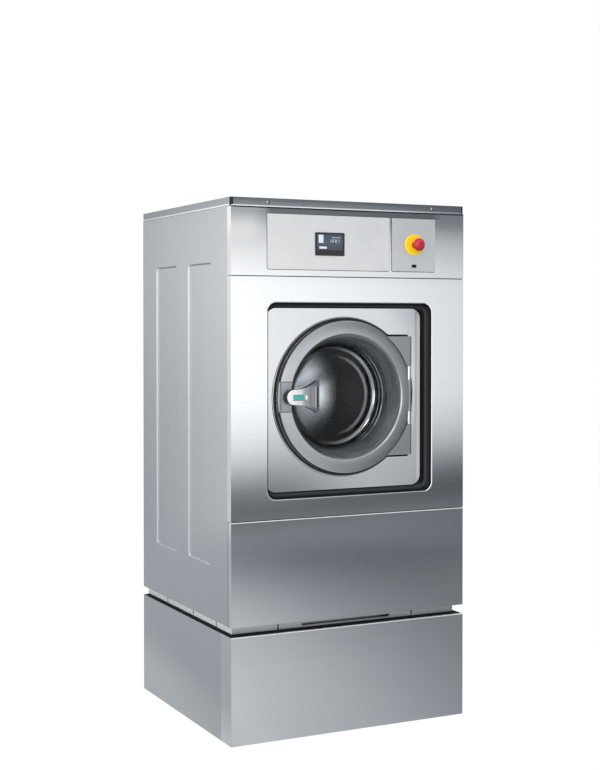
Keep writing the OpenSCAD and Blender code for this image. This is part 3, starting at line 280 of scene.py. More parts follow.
# %% [markdown]
# ## Painted light and shade on the sheets
# A folded sheet isn't one even tone, and here light and shade are painted into the sheets' colour: the
# returns are painted paler, a painted highlight runs along the upper lip, painted shade darkens the fascia
# under the cover and a painted highlight runs along the cover's foot. Each function here takes a sheet's
# colour and lays such a mark over it. Where a mark has to stay pale or dark in any room, the same mask
# makes the metal matt there.

# %% Painted light and shade on the front sheets
_, lower_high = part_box("lower_front_panel")
_, plinth_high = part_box("plinth_front")
FASCIA_PAINTED_PALE_X = (-0.30, -0.24)
FASCIA_PAINTED_PALE_Z = (1.29, 1.35)
FASCIA_SHADE_Z = (1.3665, 1.3700)
FASCIA_SHADE_X = ((-0.262, -0.232), (0.24, 0.29))
COVER_FOOT_Z = 1.3870
COVER_PAINTED_FADE_X = (0.02, 0.35)
COVER_PAINTED_END_X = (0.341, 0.345)


# Painted light: faces turned sideways, the returns, are painted paler.
def painted_pale_returns(f, colour):
    return f.blend(f.aside(0.6, 0.9), colour, grey(0.80))


# Painted highlight: a pale matt band just under a sheet's top edge.
def painted_lip_highlight_at(top):
    return lambda f: f.ahead(0.2, 0.6) * f.step(f.along(Z), top - 0.0024, top - 0.0018)


lower_painted_highlight = painted_lip_highlight_at(lower_high[Z])
plinth_painted_highlight = painted_lip_highlight_at(plinth_high[Z])


# A dark seam line at the rear of the returns, over the painted paler returns and the painted lip highlight.
def lower_seam_and_painted_light(f, colour):
    seam = f.step(f.along(Y), lower_high[Y] - 0.0060, lower_high[Y] - 0.0045)
    seamed = f.blend(seam, painted_pale_returns(f, colour), grey(0.30))
    return f.blend(lower_painted_highlight(f), seamed, grey(0.80))


def plinth_painted_light(f, colour):
    return f.blend(plinth_painted_highlight(f), colour, grey(0.72))


# Painted light and shade on the fascia: its left end is painted pale near the top, and a band of painted
# shade runs under the cover.
def painted_light_and_shade_on_fascia(f, colour):
    painted_pale_end = (1 - f.step(f.along(X), *FASCIA_PAINTED_PALE_X)) * f.step(f.along(Z), *FASCIA_PAINTED_PALE_Z)
    with_painted_pale_end = f.blend(painted_pale_end, painted_pale_returns(f, colour), grey(1.0))
    shade = f.step(f.along(Z), *FASCIA_SHADE_Z) * f.band(f.along(X), *FASCIA_SHADE_X)
    return f.blend(shade, with_painted_pale_end, grey(0.42))


# Painted highlight: a pale matt line along the cover's foot on its left part.
def painted_foot_highlight(f):
    near = 1 - f.step(f.along(X), 0.06, 0.32)
    return f.ahead(0.5, 0.8) * near * (1 - f.step(f.along(Z), COVER_FOOT_Z, COVER_FOOT_Z + 0.0012))


# Painted light and shade on the cover: a painted highlight along its foot, painted shade fading to the right
# and over its upper part, and darker painted shade on its sides, its rounded left corner and its right end.
def painted_light_on_cover(f, colour):
    foot_highlight = 1 - f.step(f.along(Z), COVER_FOOT_Z + 0.0015, COVER_FOOT_Z + 0.0040)
    painted_fade_right = f.blend(f.step(f.along(X), *COVER_PAINTED_FADE_X) * 0.6, colour, grey(0.36))
    painted_upper_shade = f.blend(f.step(f.along(Z), COVER_FOOT_Z + 0.007, COVER_FOOT_Z + 0.019), painted_fade_right, grey(0.40))
    corner = f.step(f.facing(X) * -1, 0.2, 0.4) * f.ahead(0.2, 0.4)
    painted_side_shade = f.blend(f.aside(0.7, 0.9), painted_upper_shade, grey(0.45))
    painted_end_shade = f.blend(f.step(f.along(X), *COVER_PAINTED_END_X), f.blend(foot_highlight, painted_side_shade, grey(1.0)), grey(0.06))
    return f.blend(painted_foot_highlight(f), f.blend(corner, painted_end_shade, grey(0.07)), grey(0.78))


# %% Painted light and shade on the sides and the base
rail_low, rail_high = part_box("base_front_rail")
FIELD_FOOT = 0.45
FIELD_RISE = 0.8
FOOT_SHADE_Z = (-0.03, 0.13)


def steps_ahead(f):
    return f.ahead(0.3, 0.7)


# Painted highlight: the front-facing walls of the pressed fields are painted a pale matt tone that grows
# lighter with height.
def painted_light_on_steps(f, colour):
    rising = (f.along(Z) - FIELD_FOOT) * (1 / FIELD_RISE)
    painted_step_tone = f.greys(rising, (0.0, 0.56), (0.5, 0.62), (1.0, 0.78))
    return f.blend(steps_ahead(f), colour, painted_step_tone)


# Painted shade and light on the base rail: a near-black band along its foot and pale matt sides.
def painted_rail_foot_shade(f):
    return 1 - f.step(f.along(Z), rail_low[Z] + 0.0026, rail_low[Z] + 0.0034)


def painted_rail_side_light(f):
    return f.aside(0.5, 0.8)


def painted_rail_mask(f):
    return f.maximum(painted_rail_foot_shade(f), painted_rail_side_light(f))


def painted_light_and_shade_on_rail(f, colour):
    return f.blend(painted_rail_foot_shade(f), f.blend(painted_rail_side_light(f), colour, grey(0.85)), grey(0.008))


# Painted shade: the plinth sides are painted darker towards the floor.
def painted_foot_shade(f, colour):
    return f.blend(f.step(f.along(Z), *FOOT_SHADE_Z), grey(0.52), colour)


# %% Dress the sheets
front_steel = brushed("front steel, brushed across", ACROSS, 0.76, 0.10, painted_pale_returns)
lower_steel = brushed("lower front steel", ACROSS, 0.76, 0.10, lower_seam_and_painted_light, matt=lower_painted_highlight)
fascia_steel = brushed("fascia steel, brushed across", ACROSS, 0.76, 0.10, painted_light_and_shade_on_fascia)
cover_steel = brushed("cover steel", ACROSS, 0.60, 0.12, painted_light_on_cover, matt=painted_foot_highlight)
plinth_steel = brushed("plinth steel, brushed across", ACROSS, 0.74, 0.22, plinth_painted_light, matt=plinth_painted_highlight)
side_steel = brushed("side steel, brushed upright", UPRIGHT, 0.65, 0.20, painted_light_on_steps, 0.01, steps_ahead)
plinth_side = brushed("plinth side steel", UPRIGHT, 0.65, 0.20, painted_foot_shade, 0.01)
rail_steel = brushed("base steel", ACROSS, 0.66, 0.42, painted_light_and_shade_on_rail, matt=painted_rail_mask)
# Painted shade: the drum and tub steel get a near-black tone for the shade inside the machine.
darkened_drum_steel = brushed("drum steel, rolled", ACROSS, 0.10, 0.2, None, 0.0)
wear(["front_panel"], front_steel)
wear(["lower_front_panel"], lower_steel)
wear(["control_fascia"], fascia_steel)
wear(["top_cover"], cover_steel)
wear(["plinth_front", "plinth_rear"], plinth_steel)
wear(["left_side_panel", "right_side_panel", "rear_panel"], side_steel)
wear(["plinth_left", "plinth_right"], plinth_side)
wear(["base_front_rail", "base_rails"], rail_steel)
wear(["drum_shell", "drum_front", "drum_lifters", "tub_shell", "tub_front_plate"], darkened_drum_steel)

# %% [markdown]
# ## The drawn recess
# The pan round the door is drawn from one sheet. Its floor stays bright and bows out a little towards its
# lower right corner, which lifts the reflection there, while its upper right is painted darker as a painted
# reflection. Its walls carry painted shade, a dark matt tone graded by depth with a paler painted band on the
# right wall, so they are rough and show no reflections. A strip of floor beside the right wall is painted a
# light matt grey, or it would mirror that dark wall as a black line.

# %% The pan's finish
pan_low, pan_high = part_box("recess_pan")
BOW = 0.13
BOW_TOP = 0.79
UPPER_RIGHT_SHADE_Z = 1.08
f = Finish("recess steel, drawn")
marks = brush_marks(f, ACROSS)
right_wall = f.step(f.facing(X) * -1, 0.4, 0.7)
floor_part = f.ahead(0.6, 0.85)
# Painted light: beside the right wall the floor is painted a light matt grey in place of its mirror.
beside_wall = f.step(f.along(X), pan_high[X] - 0.046, pan_high[X] - 0.030)
mirror_part = floor_part * (1 - beside_wall)
inward = (f.along(Y) - pan_low[Y]) * (1 / (pan_high[Y] - pan_low[Y]))
# Painted shade: the walls are painted dark and matt, graded by depth, with a paler painted band on the right
# wall.
wall_tone = f.greys(inward, (0.05, 0.010), (0.25, 0.012), (0.5, 0.045), (0.68, 0.05), (0.86, 0.014),
                    (1.0, 0.02))
painted_right_wall_shade = f.greys(inward, (0.10, 0.012), (0.25, 0.030), (0.40, 0.030), (0.46, 0.085), (0.54, 0.040),
                     (0.64, 0.012), (1.0, 0.008))
painted_wall_shade = f.blend(right_wall, wall_tone, painted_right_wall_shade)
# Painted reflection: the floor's upper right is painted darker.
painted_upper_right_shade = f.step(f.along(X) + (f.along(Z) - UPPER_RIGHT_SHADE_Z) * 0.7, 0.12, 0.27)
floor_with_painted_shade = f.blend(painted_upper_right_shade, f.greys(marks, (0.3, 0.63), (0.7, 0.67)), grey(0.46))
pan_tone = f.blend(floor_part, painted_wall_shade, f.blend(beside_wall, floor_with_painted_shade, grey(0.62)))
below = f.math("MINIMUM", f.along(Z) - BOW_TOP, 0.0)
bow = below * below * BOW * f.step(f.along(X), -0.22, 0.12)
dished = f.node("ShaderNodeBump", None, {"Height": bow, "Strength": 1.0, "Distance": 1.0,
                                         "Normal": f.bump(marks, 0.03, BRUSH_DEPTH)})
pan_rough = mirror_part * -0.5 + 0.62 + marks * 0.04
pan_steel = f.principled(Base_Color=pan_tone, Metallic=mirror_part, Roughness=pan_rough,
                         Specular_IOR_Level=0.0, Normal=dished)
wear(["recess_pan"], pan_steel)

# %% [markdown]
# ## Satin castings and zinc
# The handle block, bearing housing and drum spider are castings, blasted or painted, and the control plates
# have a fine satin, so they all take light more evenly than the brushed sheet. Pins, screws and the bead
# are polished further. The frame and cradles carry a zinc coat with its leaf-shaped crystals, which Voronoi
# cells give.

# %% The castings and the zinc coat
GRAIN_SCALE = 900.0
GRAIN_DEPTH = 0.0003


def cast_grain(f):
    return f.noise(GRAIN_SCALE, 3.0, 0.6)


def satin(name, tone, rough, metallic=0.85):
    f = Finish(name)
    grain = cast_grain(f)
    cloud = f.noise(14.0, 4.0, 0.6)
    colour = f.greys(grain * 0.5 + cloud * 0.5, (0.3, tone * 0.93), (0.7, tone * 1.05))
    roughness = grain * 0.12 + (rough - 0.06)
    normal = f.bump(grain, 0.08, GRAIN_DEPTH)
    return f.principled(Base_Color=colour, Metallic=metallic, Roughness=roughness, Normal=normal)


def zinc(name):
    f = Finish(name)
    cells = f.node("ShaderNodeTexVoronoi", None, {"Vector": f.place(), "Scale": 70.0}, out=1)
    level = f.node("ShaderNodeRGBToBW", None, {0: cells})
    colour = f.greys(level, (0.1, 0.42), (0.9, 0.6))
    return f.principled(Base_Color=colour, Metallic=0.9, Roughness=level * 0.2 + 0.32)


bright_metal = satin("bright metal", 0.8, 0.14, 1.0)
wear(["case_screws", "handle_pin", "hinge_pins", "lock_bolt", "shaft_bearings", "motor_pulley"], bright_metal)
wear(["door_bead"], satin("bead, polished", 0.92, 0.2, 1.0))
wear(["bearing_housing", "drum_spider"], satin("painted iron casting", 0.2, 0.6, 0.2))
wear(["display_plate"], satin("control plates, fine satin", 0.86, 0.40, 0.7))
wear(["stop_plate"], satin("stop plate, fine satin", 0.75, 0.36, 0.8))
wear(["handle_block"], satin("handle block, blasted", 0.38, 0.36, 0.9))
wear(["plinth_posts", "base_deck", "cabinet_frame", "tub_cradles"], zinc("zinc coat"))

# %% [markdown]
# ## The door ring, turned on a lathe
# The ring was cast and then turned, so its faint marks run round the door's axis. Radius and angle from
# that axis stretch the noise into arcs. Light and shade are painted into its colour: its face is painted
# lighter on the left than on the right, its outer edge is painted dark in front and pale behind, and a thin
# crescent of painted shade runs along that edge on the left. The hinge brackets are painted brighter
# between the lugs, where they are also smoother.

# %% The ring's finish
sleeve_low, sleeve_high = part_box("door_sleeve")
axis_x = (sleeve_low[X] + sleeve_high[X]) / 2
axis_z = (sleeve_low[Z] + sleeve_high[Z]) / 2
RIM_MID = pan_low[Y] + 0.0275
RIM_R = (0.190, 0.196)
CRESCENT_R = (0.2030, 0.2040)
CRESCENT_SHIFT = 0.003
BRACKET_HALF = (0.076, 0.080)


def from_axis(f, shift=0.0):
    return ((f.along(X) - (axis_x + shift)) ** 2.0 + (f.along(Z) - axis_z) ** 2.0) ** 0.5


def arcs(f, across, along):
    angle = f.math("ARCTAN2", f.along(Z) - axis_z, f.along(X) - axis_x)
    spot = f.join(from_axis(f) * across, angle * along, 0.0)
    inputs = {"Vector": spot, "Scale": 1.0, "Detail": 5.0, "Roughness": 0.65}
    return f.node("ShaderNodeTexNoise", None, inputs)


f = Finish("door ring, turned casting")
turned = arcs(f, 420, 1.6)
# Painted light: the face is painted lighter on the left and darker, far_tone, on the right.
painted_lit_tone = f.greys(turned, (0.3, 0.56), (0.7, 0.64))
far_tone = f.greys(turned, (0.3, 0.33), (0.7, 0.39))
painted_face_tone = f.blend(f.step(f.along(X), -0.17, 0.21), painted_lit_tone, far_tone)
# Painted shade and highlight on the outer edge: near black in front, pale matt behind. A thin crescent of
# painted shade runs along it on the left.
rim = (1 - f.ahead(0.15, 0.45)) * f.step(from_axis(f), *RIM_R)
painted_rim_tone = f.blend(f.step(f.along(Y), RIM_MID, RIM_MID + 0.001), grey(0.012), grey(0.85))
left_part = 1 - f.step(f.along(X) - (axis_x + CRESCENT_SHIFT), 0.02, 0.06)
painted_crescent_shade = f.step(from_axis(f, CRESCENT_SHIFT), *CRESCENT_R) * left_part
ring_tone = f.blend(rim, f.blend(painted_crescent_shade, painted_face_tone, grey(0.02)), painted_rim_tone)
ring_metal = f.principled(Base_Color=ring_tone, Metallic=f.maximum(rim, painted_crescent_shade) * -0.9 + 0.9,
                          Roughness=turned * 0.14 + 0.30, Normal=f.bump(turned, 0.05, BRUSH_DEPTH))
wear(["door_ring", "drum_pulley"], ring_metal)

# Painted highlight: the brackets are painted lighter between the lugs, where they are also smoother.
f = Finish("hinge brackets, polished between the lugs")
between = 1 - f.step(f.absolute(f.along(Z) - axis_z), *BRACKET_HALF)
painted_bracket_tone = f.blend(between, grey(0.36), grey(0.62))
bracket_metal = f.principled(Base_Color=painted_bracket_tone, Metallic=1.0, Roughness=between * -0.22 + 0.38)
wear(["hinge_brackets"], bracket_metal)

# %% [markdown]
# ## The lever, polished at one end
# Hands polish the round end over the years, so it is smoother than the wide grip, which keeps its blasted
# grey; its lighter tone is a painted highlight. One finish runs from the one to the other along the lever,
# with a fine step line between. Painted shade darkens the grip's right end and its upper and lower edges,
# and the sides are painted near black.

# %% The lever's finish
lever_low, lever_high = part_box("handle_lever")
lever_z = (lever_low[Z] + lever_high[Z]) / 2
GRIP_X = (-0.155, -0.138)
STEP_LINE_X = ((-0.1262, -0.1250), (-0.1238, -0.1226))
WING_HALF = (0.022, 0.034)
f = Finish("lever, polished to blasted")
# Painted highlight: the round end is painted lighter than the grip.
grip = f.step(f.along(X), *GRIP_X)
grain = cast_grain(f)
line = f.band(f.along(X), *STEP_LINE_X)
# Painted shade on the grip's right end and on its upper and lower edges, together with the dark step line.
lip = f.step(f.along(X), lever_high[X] - 0.0066, lever_high[X] - 0.0058)
painted_edge_shade = f.step(f.absolute(f.along(Z) - lever_z), *WING_HALF)
darkened = f.maximum(f.maximum(line, lip), painted_edge_shade)
painted_face_tone = f.blend(darkened, f.blend(grip, grey(0.74), grey(0.56)), grey(0.32))
# Painted shade: the sides are painted near black.
painted_lever_tone = f.blend(f.ahead(0.35, 0.65), grey(0.02), painted_face_tone)
lever_metal = f.principled(Base_Color=painted_lever_tone, Metallic=1.0, Roughness=grip * 0.2 + grain * 0.06 + 0.14,
                           Normal=f.bump(grain, 0.06, GRAIN_DEPTH))
wear(["handle_lever"], lever_metal)

# %% [markdown]
# ## Rubber, plastics and paint
# Rubber is near black and dull with a fine grain. The plastics keep their colour in the body, and a slow
# noise in the roughness stops them from looking computer-made. The bowl's seal is near black on the left and
# painted grey on its right side, as painted shade and light, and the coloured plate on the lever has a grey
# frame.

# %% The plain skins
def skin(name, colour, rough, grain_scale=700.0, depth=0.05):
    f = Finish(name)
    grain = f.noise(grain_scale, 3.0, 0.6)
    cloud = f.noise(9.0, 4.0, 0.6)
    darker = tuple(c * 0.85 for c in colour[:3]) + (1,)
    tint = f.blend(cloud, darker, colour)
    normal = f.bump(grain, depth, GRAIN_DEPTH)
    return f.principled(Base_Color=tint, Roughness=cloud * 0.12 + (rough - 0.06), Normal=normal)


rubber = skin("black rubber", (0.014, 0.014, 0.015, 1), 0.6, 500.0, 0.12)
black_plastic = skin("black plastic", (0.02, 0.02, 0.022, 1), 0.32)
wear(["door_gasket", "shaft_seal", "drive_belt"], rubber)
wear(["display_housing", "data_socket", "door_lock", "stop_contacts", "mains_gland"], black_plastic)
wear(["door_sleeve"], skin("grey sleeve rubber", (0.07, 0.073, 0.077, 1), 0.5, 500.0))
wear(["drain_valve", "fill_pipe"], skin("grey plastic", (0.28, 0.29, 0.3, 1), 0.5))
wear(["inlet_valves"], skin("blue plastic", (0.05, 0.12, 0.4, 1), 0.42))
wear(["stop_collar"], skin("stop collar yellow", (1.0, 0.70, 0.003, 1), 0.45))
wear(["stop_stem", "stop_head"], skin("stop head red", (0.50, 0.012, 0.03, 1), 0.42))
wear(["motor_body"], skin("motor enamel", (0.05, 0.075, 0.12, 1), 0.45))

# %% The seals, the coloured plate and the brass
# Matt black for seals and joints, and for the black pieces further down that stand in for shade.
f = Finish("matt black seal")
pores = f.noise(1200.0, 3.0, 0.6)
matt_black = f.principled(Base_Color=f.greys(pores, (0.3, 0.008), (0.7, 0.016)), Roughness=pores * 0.2 + 0.7,
                          Specular_IOR_Level=0.12, Normal=f.bump(pores, 0.1, GRAIN_DEPTH))

f = Finish("bowl seal, dusted on one side")
pores = f.noise(500.0, 3.0, 0.6)
# Painted light and shade: the seal is near black on the left and painted grey on its right side.
painted_seal_tone = f.blend(f.step(f.along(X) - axis_x, -0.10, 0.0), grey(0.014), grey(0.12))
wear(["glass_seal"], f.principled(Base_Color=painted_seal_tone, Roughness=pores * 0.1 + 0.6))

plate_low, plate_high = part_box("handle_label")
PLATE_HALF = (0.0056, 0.0062)
f = Finish("lever plate, teal in a grey frame")
framed = f.step(f.absolute(f.along(Z) - (plate_low[Z] + plate_high[Z]) / 2), *PLATE_HALF)
cloud = f.noise(9.0, 4.0, 0.6)
teal = f.blend(cloud, (0.05, 0.33, 0.31, 1), (0.06, 0.39, 0.37, 1))
plate_tone = f.blend(framed, teal, grey(0.20))
wear(["handle_label"], f.principled(Base_Color=plate_tone, Roughness=cloud * 0.12 + 0.24))

f = Finish("machined brass")
turning = f.noise(1.0, 4.0, 0.6, (700, 4, 4))
brass_tone = f.blend(turning, (0.52, 0.36, 0.12, 1), (0.66, 0.48, 0.18, 1))
wear(["drain_disc"], f.principled(Base_Color=brass_tone, Metallic=1.0, Roughness=turning * 0.15 + 0.2))

# %% [markdown]
# ## The glass bowl
# The bowl is thick pressed glass and the drum behind it is painted dark, so what shows is the hub of the
# drum and the bowl itself. The bowl's light and shade are painted as films of other shaders mixed into the
# glass: a broken painted highlight where its flat end bends into the flank, painted shade there on the left,
# a fainter painted arc inside that, a fine painted pale thread outside it, and a streaky painted sheen on the
# flank. Rings about the door's axis place them. A faint ripple from the press keeps the glass from being
# perfect.

# %% The pressed glass, with painted highlights and shade
BOWL_END = 0.1356
f = Finish("bowl glass")
ripple = f.noise(7.0, 2.0, 0.5)
clear_glass = f.shader(Base_Color=(0.92, 0.94, 0.96, 1), Roughness=0.01, Transmission_Weight=1.0, IOR=1.22,
                       Normal=f.bump(ripple, 0.10, 0.002))
# Painted highlight, sheen and shade: films mixed into the glass by rings about the door's axis.
painted_bend_highlight = f.shader(Base_Color=(0.66, 0.68, 0.70, 1), Metallic=1.0, Roughness=0.16)
painted_flank_sheen = f.shader(Base_Color=(0.42, 0.48, 0.52, 1), Roughness=0.5)
painted_rim_shade = f.shader(Base_Color=(0.012, 0.013, 0.014, 1), Roughness=0.4)
pale = f.shader(Base_Color=(0.86, 0.90, 0.92, 1), Roughness=0.4)
past_end = from_axis(f) - BOWL_END
sideways = f.along(X) - axis_x
bend = f.band(past_end, (-0.0105, -0.0065), (-0.0014, 0.0009))
inner_arc = f.band(past_end, (-0.034, -0.029), (-0.027, -0.022))
thread = f.band(past_end, (0.0066, 0.0074), (0.0080, 0.0088))
flank = f.step(past_end, -0.001, 0.026)
flank_streaks = arcs(f, 260, 1.4)
broken = f.step(arcs(f, 1500, 5.0), 0.36, 0.62)
lit_side = f.step(sideways, 0.0, 0.12)
bend_shine = bend * f.step(sideways, -0.06, 0.0) * (lit_side * 0.65 + 0.10) * (broken * 0.6 + 0.5)
near_rim = f.step(past_end, -0.025, -0.015) * (1 - f.step(sideways, -0.10, -0.04))
threaded = thread * broken * f.step(sideways, 0.06, 0.12) * 0.55
bent_glass = f.mix(bend_shine + inner_arc * lit_side * 0.22, clear_glass, painted_bend_highlight)
dark_bend = f.mix(near_rim * 0.92, bent_glass, painted_rim_shade)
with_painted_sheen = f.mix(flank * (flank_streaks * 0.85 - 0.24), dark_bend, painted_flank_sheen)
wear(["door_glass"], f.surface(f.mix(threaded, with_painted_sheen, pale)))

# %% [markdown]
# ## The screen
# A lit panel behind glass: a slate blue that is palest halfway up and darkest along the bottom. The
# gradient follows the panel's own place in the machine, so it stays put from every side.

# %% The lit panel
screen_low, screen_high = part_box("display_screen")
f = Finish("lit screen")
height = (f.along(Z) - screen_low[Z]) * (1 / (screen_high[Z] - screen_low[Z]))
tone = f.ramp(height, [(0.0, (0.03, 0.04, 0.06, 1)), (0.5, (0.07, 0.095, 0.14, 1)),
                       (1.0, (0.045, 0.065, 0.11, 1))])
lit_screen = f.principled(Base_Color=(0.01, 0.012, 0.016, 1), Roughness=0.12, Emission_Color=tone,
                          Emission_Strength=0.8, Coat_Weight=0.2)
wear(["display_screen"], lit_screen)


# %% [markdown]
# ## What the screen shows
# A white block, pale bars and a clock, each a thin film on the glass. The clock's figures are built from
# bars, the way a segment display makes them.

# %% Helpers that turn a mesh into a piece
def new_piece(name, mesh, body, material):
    piece = bpy.data.objects.new(name, mesh)
    bpy.context.collection.objects.link(piece)
    mesh.materials.clear()
    mesh.materials.append(material)
    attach(piece, body)
    print(name, "faces:", len(mesh.polygons))
    return piece


def piece_from(bm, name, body, material):
    mesh = bpy.data.meshes.new(name)
    bm.to_mesh(mesh)
    bm.free()
    return new_piece(name, mesh, body, material)


def add_box(bm, low, high):
    made = bmesh.ops.create_cube(bm, size=1.0)
    size = Vector(high) - Vector(low)
    middle = (Vector(high) + Vector(low)) / 2
    bmesh.ops.scale(bm, vec=size, verts=made["verts"])
    bmesh.ops.translate(bm, vec=middle, verts=made["verts"])


# %% Films on the screen
SEGMENTS = {"1": "bc", "2": "abged", "0": "abcdef", "7": "abc"}
FIGURE_X = (0.036, 0.0435, 0.053, 0.0605)
FIGURE_Z = 0.0205
COLON_X = 0.0495
DASH_PITCH = 0.005
FILM_Y = (screen_low[Y] - 0.00008, screen_low[Y] - 0.00001)


def figure_bars(figure, x, z, w=0.0042, h=0.0078, t=0.0009):
    mid = z + h / 2
    bars = {
        "a": (x, z + h - t, x + w, z + h), "g": (x, mid - t / 2, x + w, mid + t / 2),
        "d": (x, z, x + w, z + t), "b": (x + w - t, mid, x + w, z + h), "c": (x + w - t, z, x + w, mid),
        "f": (x, mid, x + t, z + h), "e": (x, z, x + t, mid),
    }
    return [bars[key] for key in SEGMENTS[figure]]


f = Finish("screen glow")
glow_tone = f.ramp(f.noise(60.0), [(0.2, (0.75, 0.82, 0.9, 1)), (0.8, (0.9, 0.94, 1.0, 1))])
screen_glow = f.principled(Base_Color=(0.02, 0.02, 0.02, 1), Roughness=0.3, Emission_Color=glow_tone,
                           Emission_Strength=0.9)
films = [(0.004, 0.019, 0.018, 0.040), (0.006, 0.004, 0.028, 0.0095)]
for figure, offset in zip("1207", FIGURE_X):
    films += figure_bars(figure, offset, FIGURE_Z)
films += [(COLON_X, z, COLON_X + 0.001, z + 0.001) for z in (0.0225, 0.0255)]
films += [(0.044 + DASH_PITCH * i, 0.033, 0.0475 + DASH_PITCH * i, 0.0345) for i in range(5)]
bm = bmesh.new()
for x0, z0, x1, z1 in films:
    add_box(bm, (screen_low[X] + x0, FILM_Y[0], screen_low[Z] + z0),
            (screen_low[X] + x1, FILM_Y[1], screen_low[Z] + z1))
piece_from(bm, "screen_films", "cabinet", screen_glow)


# %% [markdown]
# ## Punched holes in the drum
# A drum wall has thousands of small holes. Drawing each one would be slow, so a Geometry Nodes tree lays a
# grid, rolls it into a cylinder and sets a small dark disc at each point, facing the axis. The wall itself
# stays whole.

# %% A helper that builds a node tree
SOCKETS = {float: "NodeSocketFloat", int: "NodeSocketInt", tuple: "NodeSocketVector"}


class Plan(Graph):
    def __init__(self, name, inputs):
        super().__init__(bpy.data.node_groups.new(name, "GeometryNodeTree"))
        self.ids = {}
        self.tree.interface.new_socket("Points", in_out="INPUT", socket_type="NodeSocketGeometry")
        for label, value in inputs.items():
            socket = self.tree.interface.new_socket(label, in_out="INPUT", socket_type=SOCKETS[type(value)])
            socket.default_value = value
            self.ids[label] = socket.identifier
        self.tree.interface.new_socket("Geometry", in_out="OUTPUT", socket_type="NodeSocketGeometry")
        self.start = self.tree.nodes.new("NodeGroupInput")
        self.end = self.tree.nodes.new("NodeGroupOutput")

    def value(self, label):
        return Wire(self, self.start.outputs[label])

    def copies(self, points, shape, **more):
        return self.node("GeometryNodeInstanceOnPoints", None, {"Points": points, "Instance": shape, **more})

    def placed(self, geometry, **moves):
        return self.node("GeometryNodeTransform", None, {0: geometry, **moves})

    def finish(self, geometry, material):
        solid = self.node("GeometryNodeRealizeInstances", None, {0: geometry})
        dressed = self.node("GeometryNodeSetMaterial", None, {0: solid, "Material": material})
        self.tree.links.new(dressed.socket, self.end.inputs[0])


def grow(name, plan, values, body, material, points=()):
    start = bpy.data.meshes.new(name + "_plan")
    start.from_pydata(points, [], [])
    holder = bpy.data.objects.new(name + "_plan", start)
    bpy.context.collection.objects.link(holder)
    modifier = holder.modifiers.new("plan", "NODES")
    modifier.node_group = plan.tree
    for label, value in values.items():
        modifier[plan.ids[label]] = value
    depsgraph = bpy.context.evaluated_depsgraph_get()
    mesh = bpy.data.meshes.new_from_object(holder.evaluated_get(depsgraph))
    mesh.name = name
    bpy.data.objects.remove(holder)
    return new_piece(name, mesh, body, material)


# %% Roll a grid of holes onto the drum wall
drum_low, drum_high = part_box("drum_shell")
drum_inside = (drum_high[Z] - drum_low[Z]) / 2 - 0.0015
HOLE_SIDES = 10
hole_dark = skin("punched hole", (0.012, 0.012, 0.013, 1), 0.7)

wall = Plan("punched wall", {"Radius": 0.26, "Length": 0.28, "Around": 90, "Rows": 16, "Hole radius": 0.002,
                             "Axis X": 0.0, "Start": 0.0, "Axis Z": 0.0})
grid = wall.node("GeometryNodeMeshGrid", None, {0: math.tau, 1: wall.value("Length"), 2: wall.value("Around"),
                                                3: wall.value("Rows")})
angle, deep, _ = wall.split(wall.node("GeometryNodeInputPosition"))
sine = wall.math("SINE", angle)
cosine = wall.math("COSINE", angle)
on_wall = wall.join(sine * wall.value("Radius") + wall.value("Axis X"), deep + wall.value("Start"),
                    cosine * wall.value("Radius") + wall.value("Axis Z"))
inward = wall.join(sine * -1.0, 0.0, cosine * -1.0)
kept = wall.node("GeometryNodeCaptureAttribute", None, {0: grid})
capture = kept.socket.node
capture.capture_items.new("VECTOR", "inward")
wall.tree.links.new(inward.socket, capture.inputs[1])
rolled = wall.node("GeometryNodeSetPosition", None, {0: kept, "Position": on_wall})
hole = wall.node("GeometryNodeMeshCircle", {"fill_type": "NGON"},
                 {0: HOLE_SIDES, 1: wall.value("Hole radius")})
turn = wall.node("FunctionNodeAlignRotationToVector", {"axis": "Z"}, {2: kept.beside(1)})
wall.finish(wall.copies(rolled, hole, Rotation=turn), hole_dark)
grow("drum_holes", wall, {
    "Radius": drum_inside - 0.0003, "Length": drum_high[Y] - drum_low[Y] - 0.07, "Around": 109, "Rows": 18,
    "Hole radius": 0.0022, "Axis X": axis_x, "Start": (drum_low[Y] + drum_high[Y]) / 2 - 0.02,
    "Axis Z": axis_z,
}, "drum", hole_dark)

# %% [markdown]
# ## The pressed hub of the drum
# The middle of the drum's rear wall is pressed into a shallow dish with faint flutes, which stiffens it
# round the shaft. The dish leans towards the axis and sends light from the room back out through the glass:
# that is the bright patch behind the lever. Beyond its middle the dish is painted dark, as painted shade.
# Solidify gives the sheet its thickness.

# %% Press the dish
DISH_POINTS = 30
DISH_R = 0.166
DISH_STEPS = 7
DISH_BACK = 0.0022
DISH_SLOPE = 0.38
DISH_CROWN = 0.40
DISH_EDGE = 0.006
FLUTE = 0.0030


def dish_ring(bm, radius, rise, wave):
    ring = []
    for i in range(DISH_POINTS):
        angle = math.tau * i / DISH_POINTS
        y = drum_high[Y] - DISH_BACK - rise - (wave if i % 2 else -wave)
        ring.append(bm.verts.new((axis_x + radius * math.cos(angle), y, axis_z + radius * math.sin(angle))))
    return ring


def join_rings(bm, first, second):
    faces = []
    for i in range(len(first)):
        j = (i + 1) % len(first)
        faces.append(bm.faces.new((first[i], first[j], second[j], second[i])))
    return faces


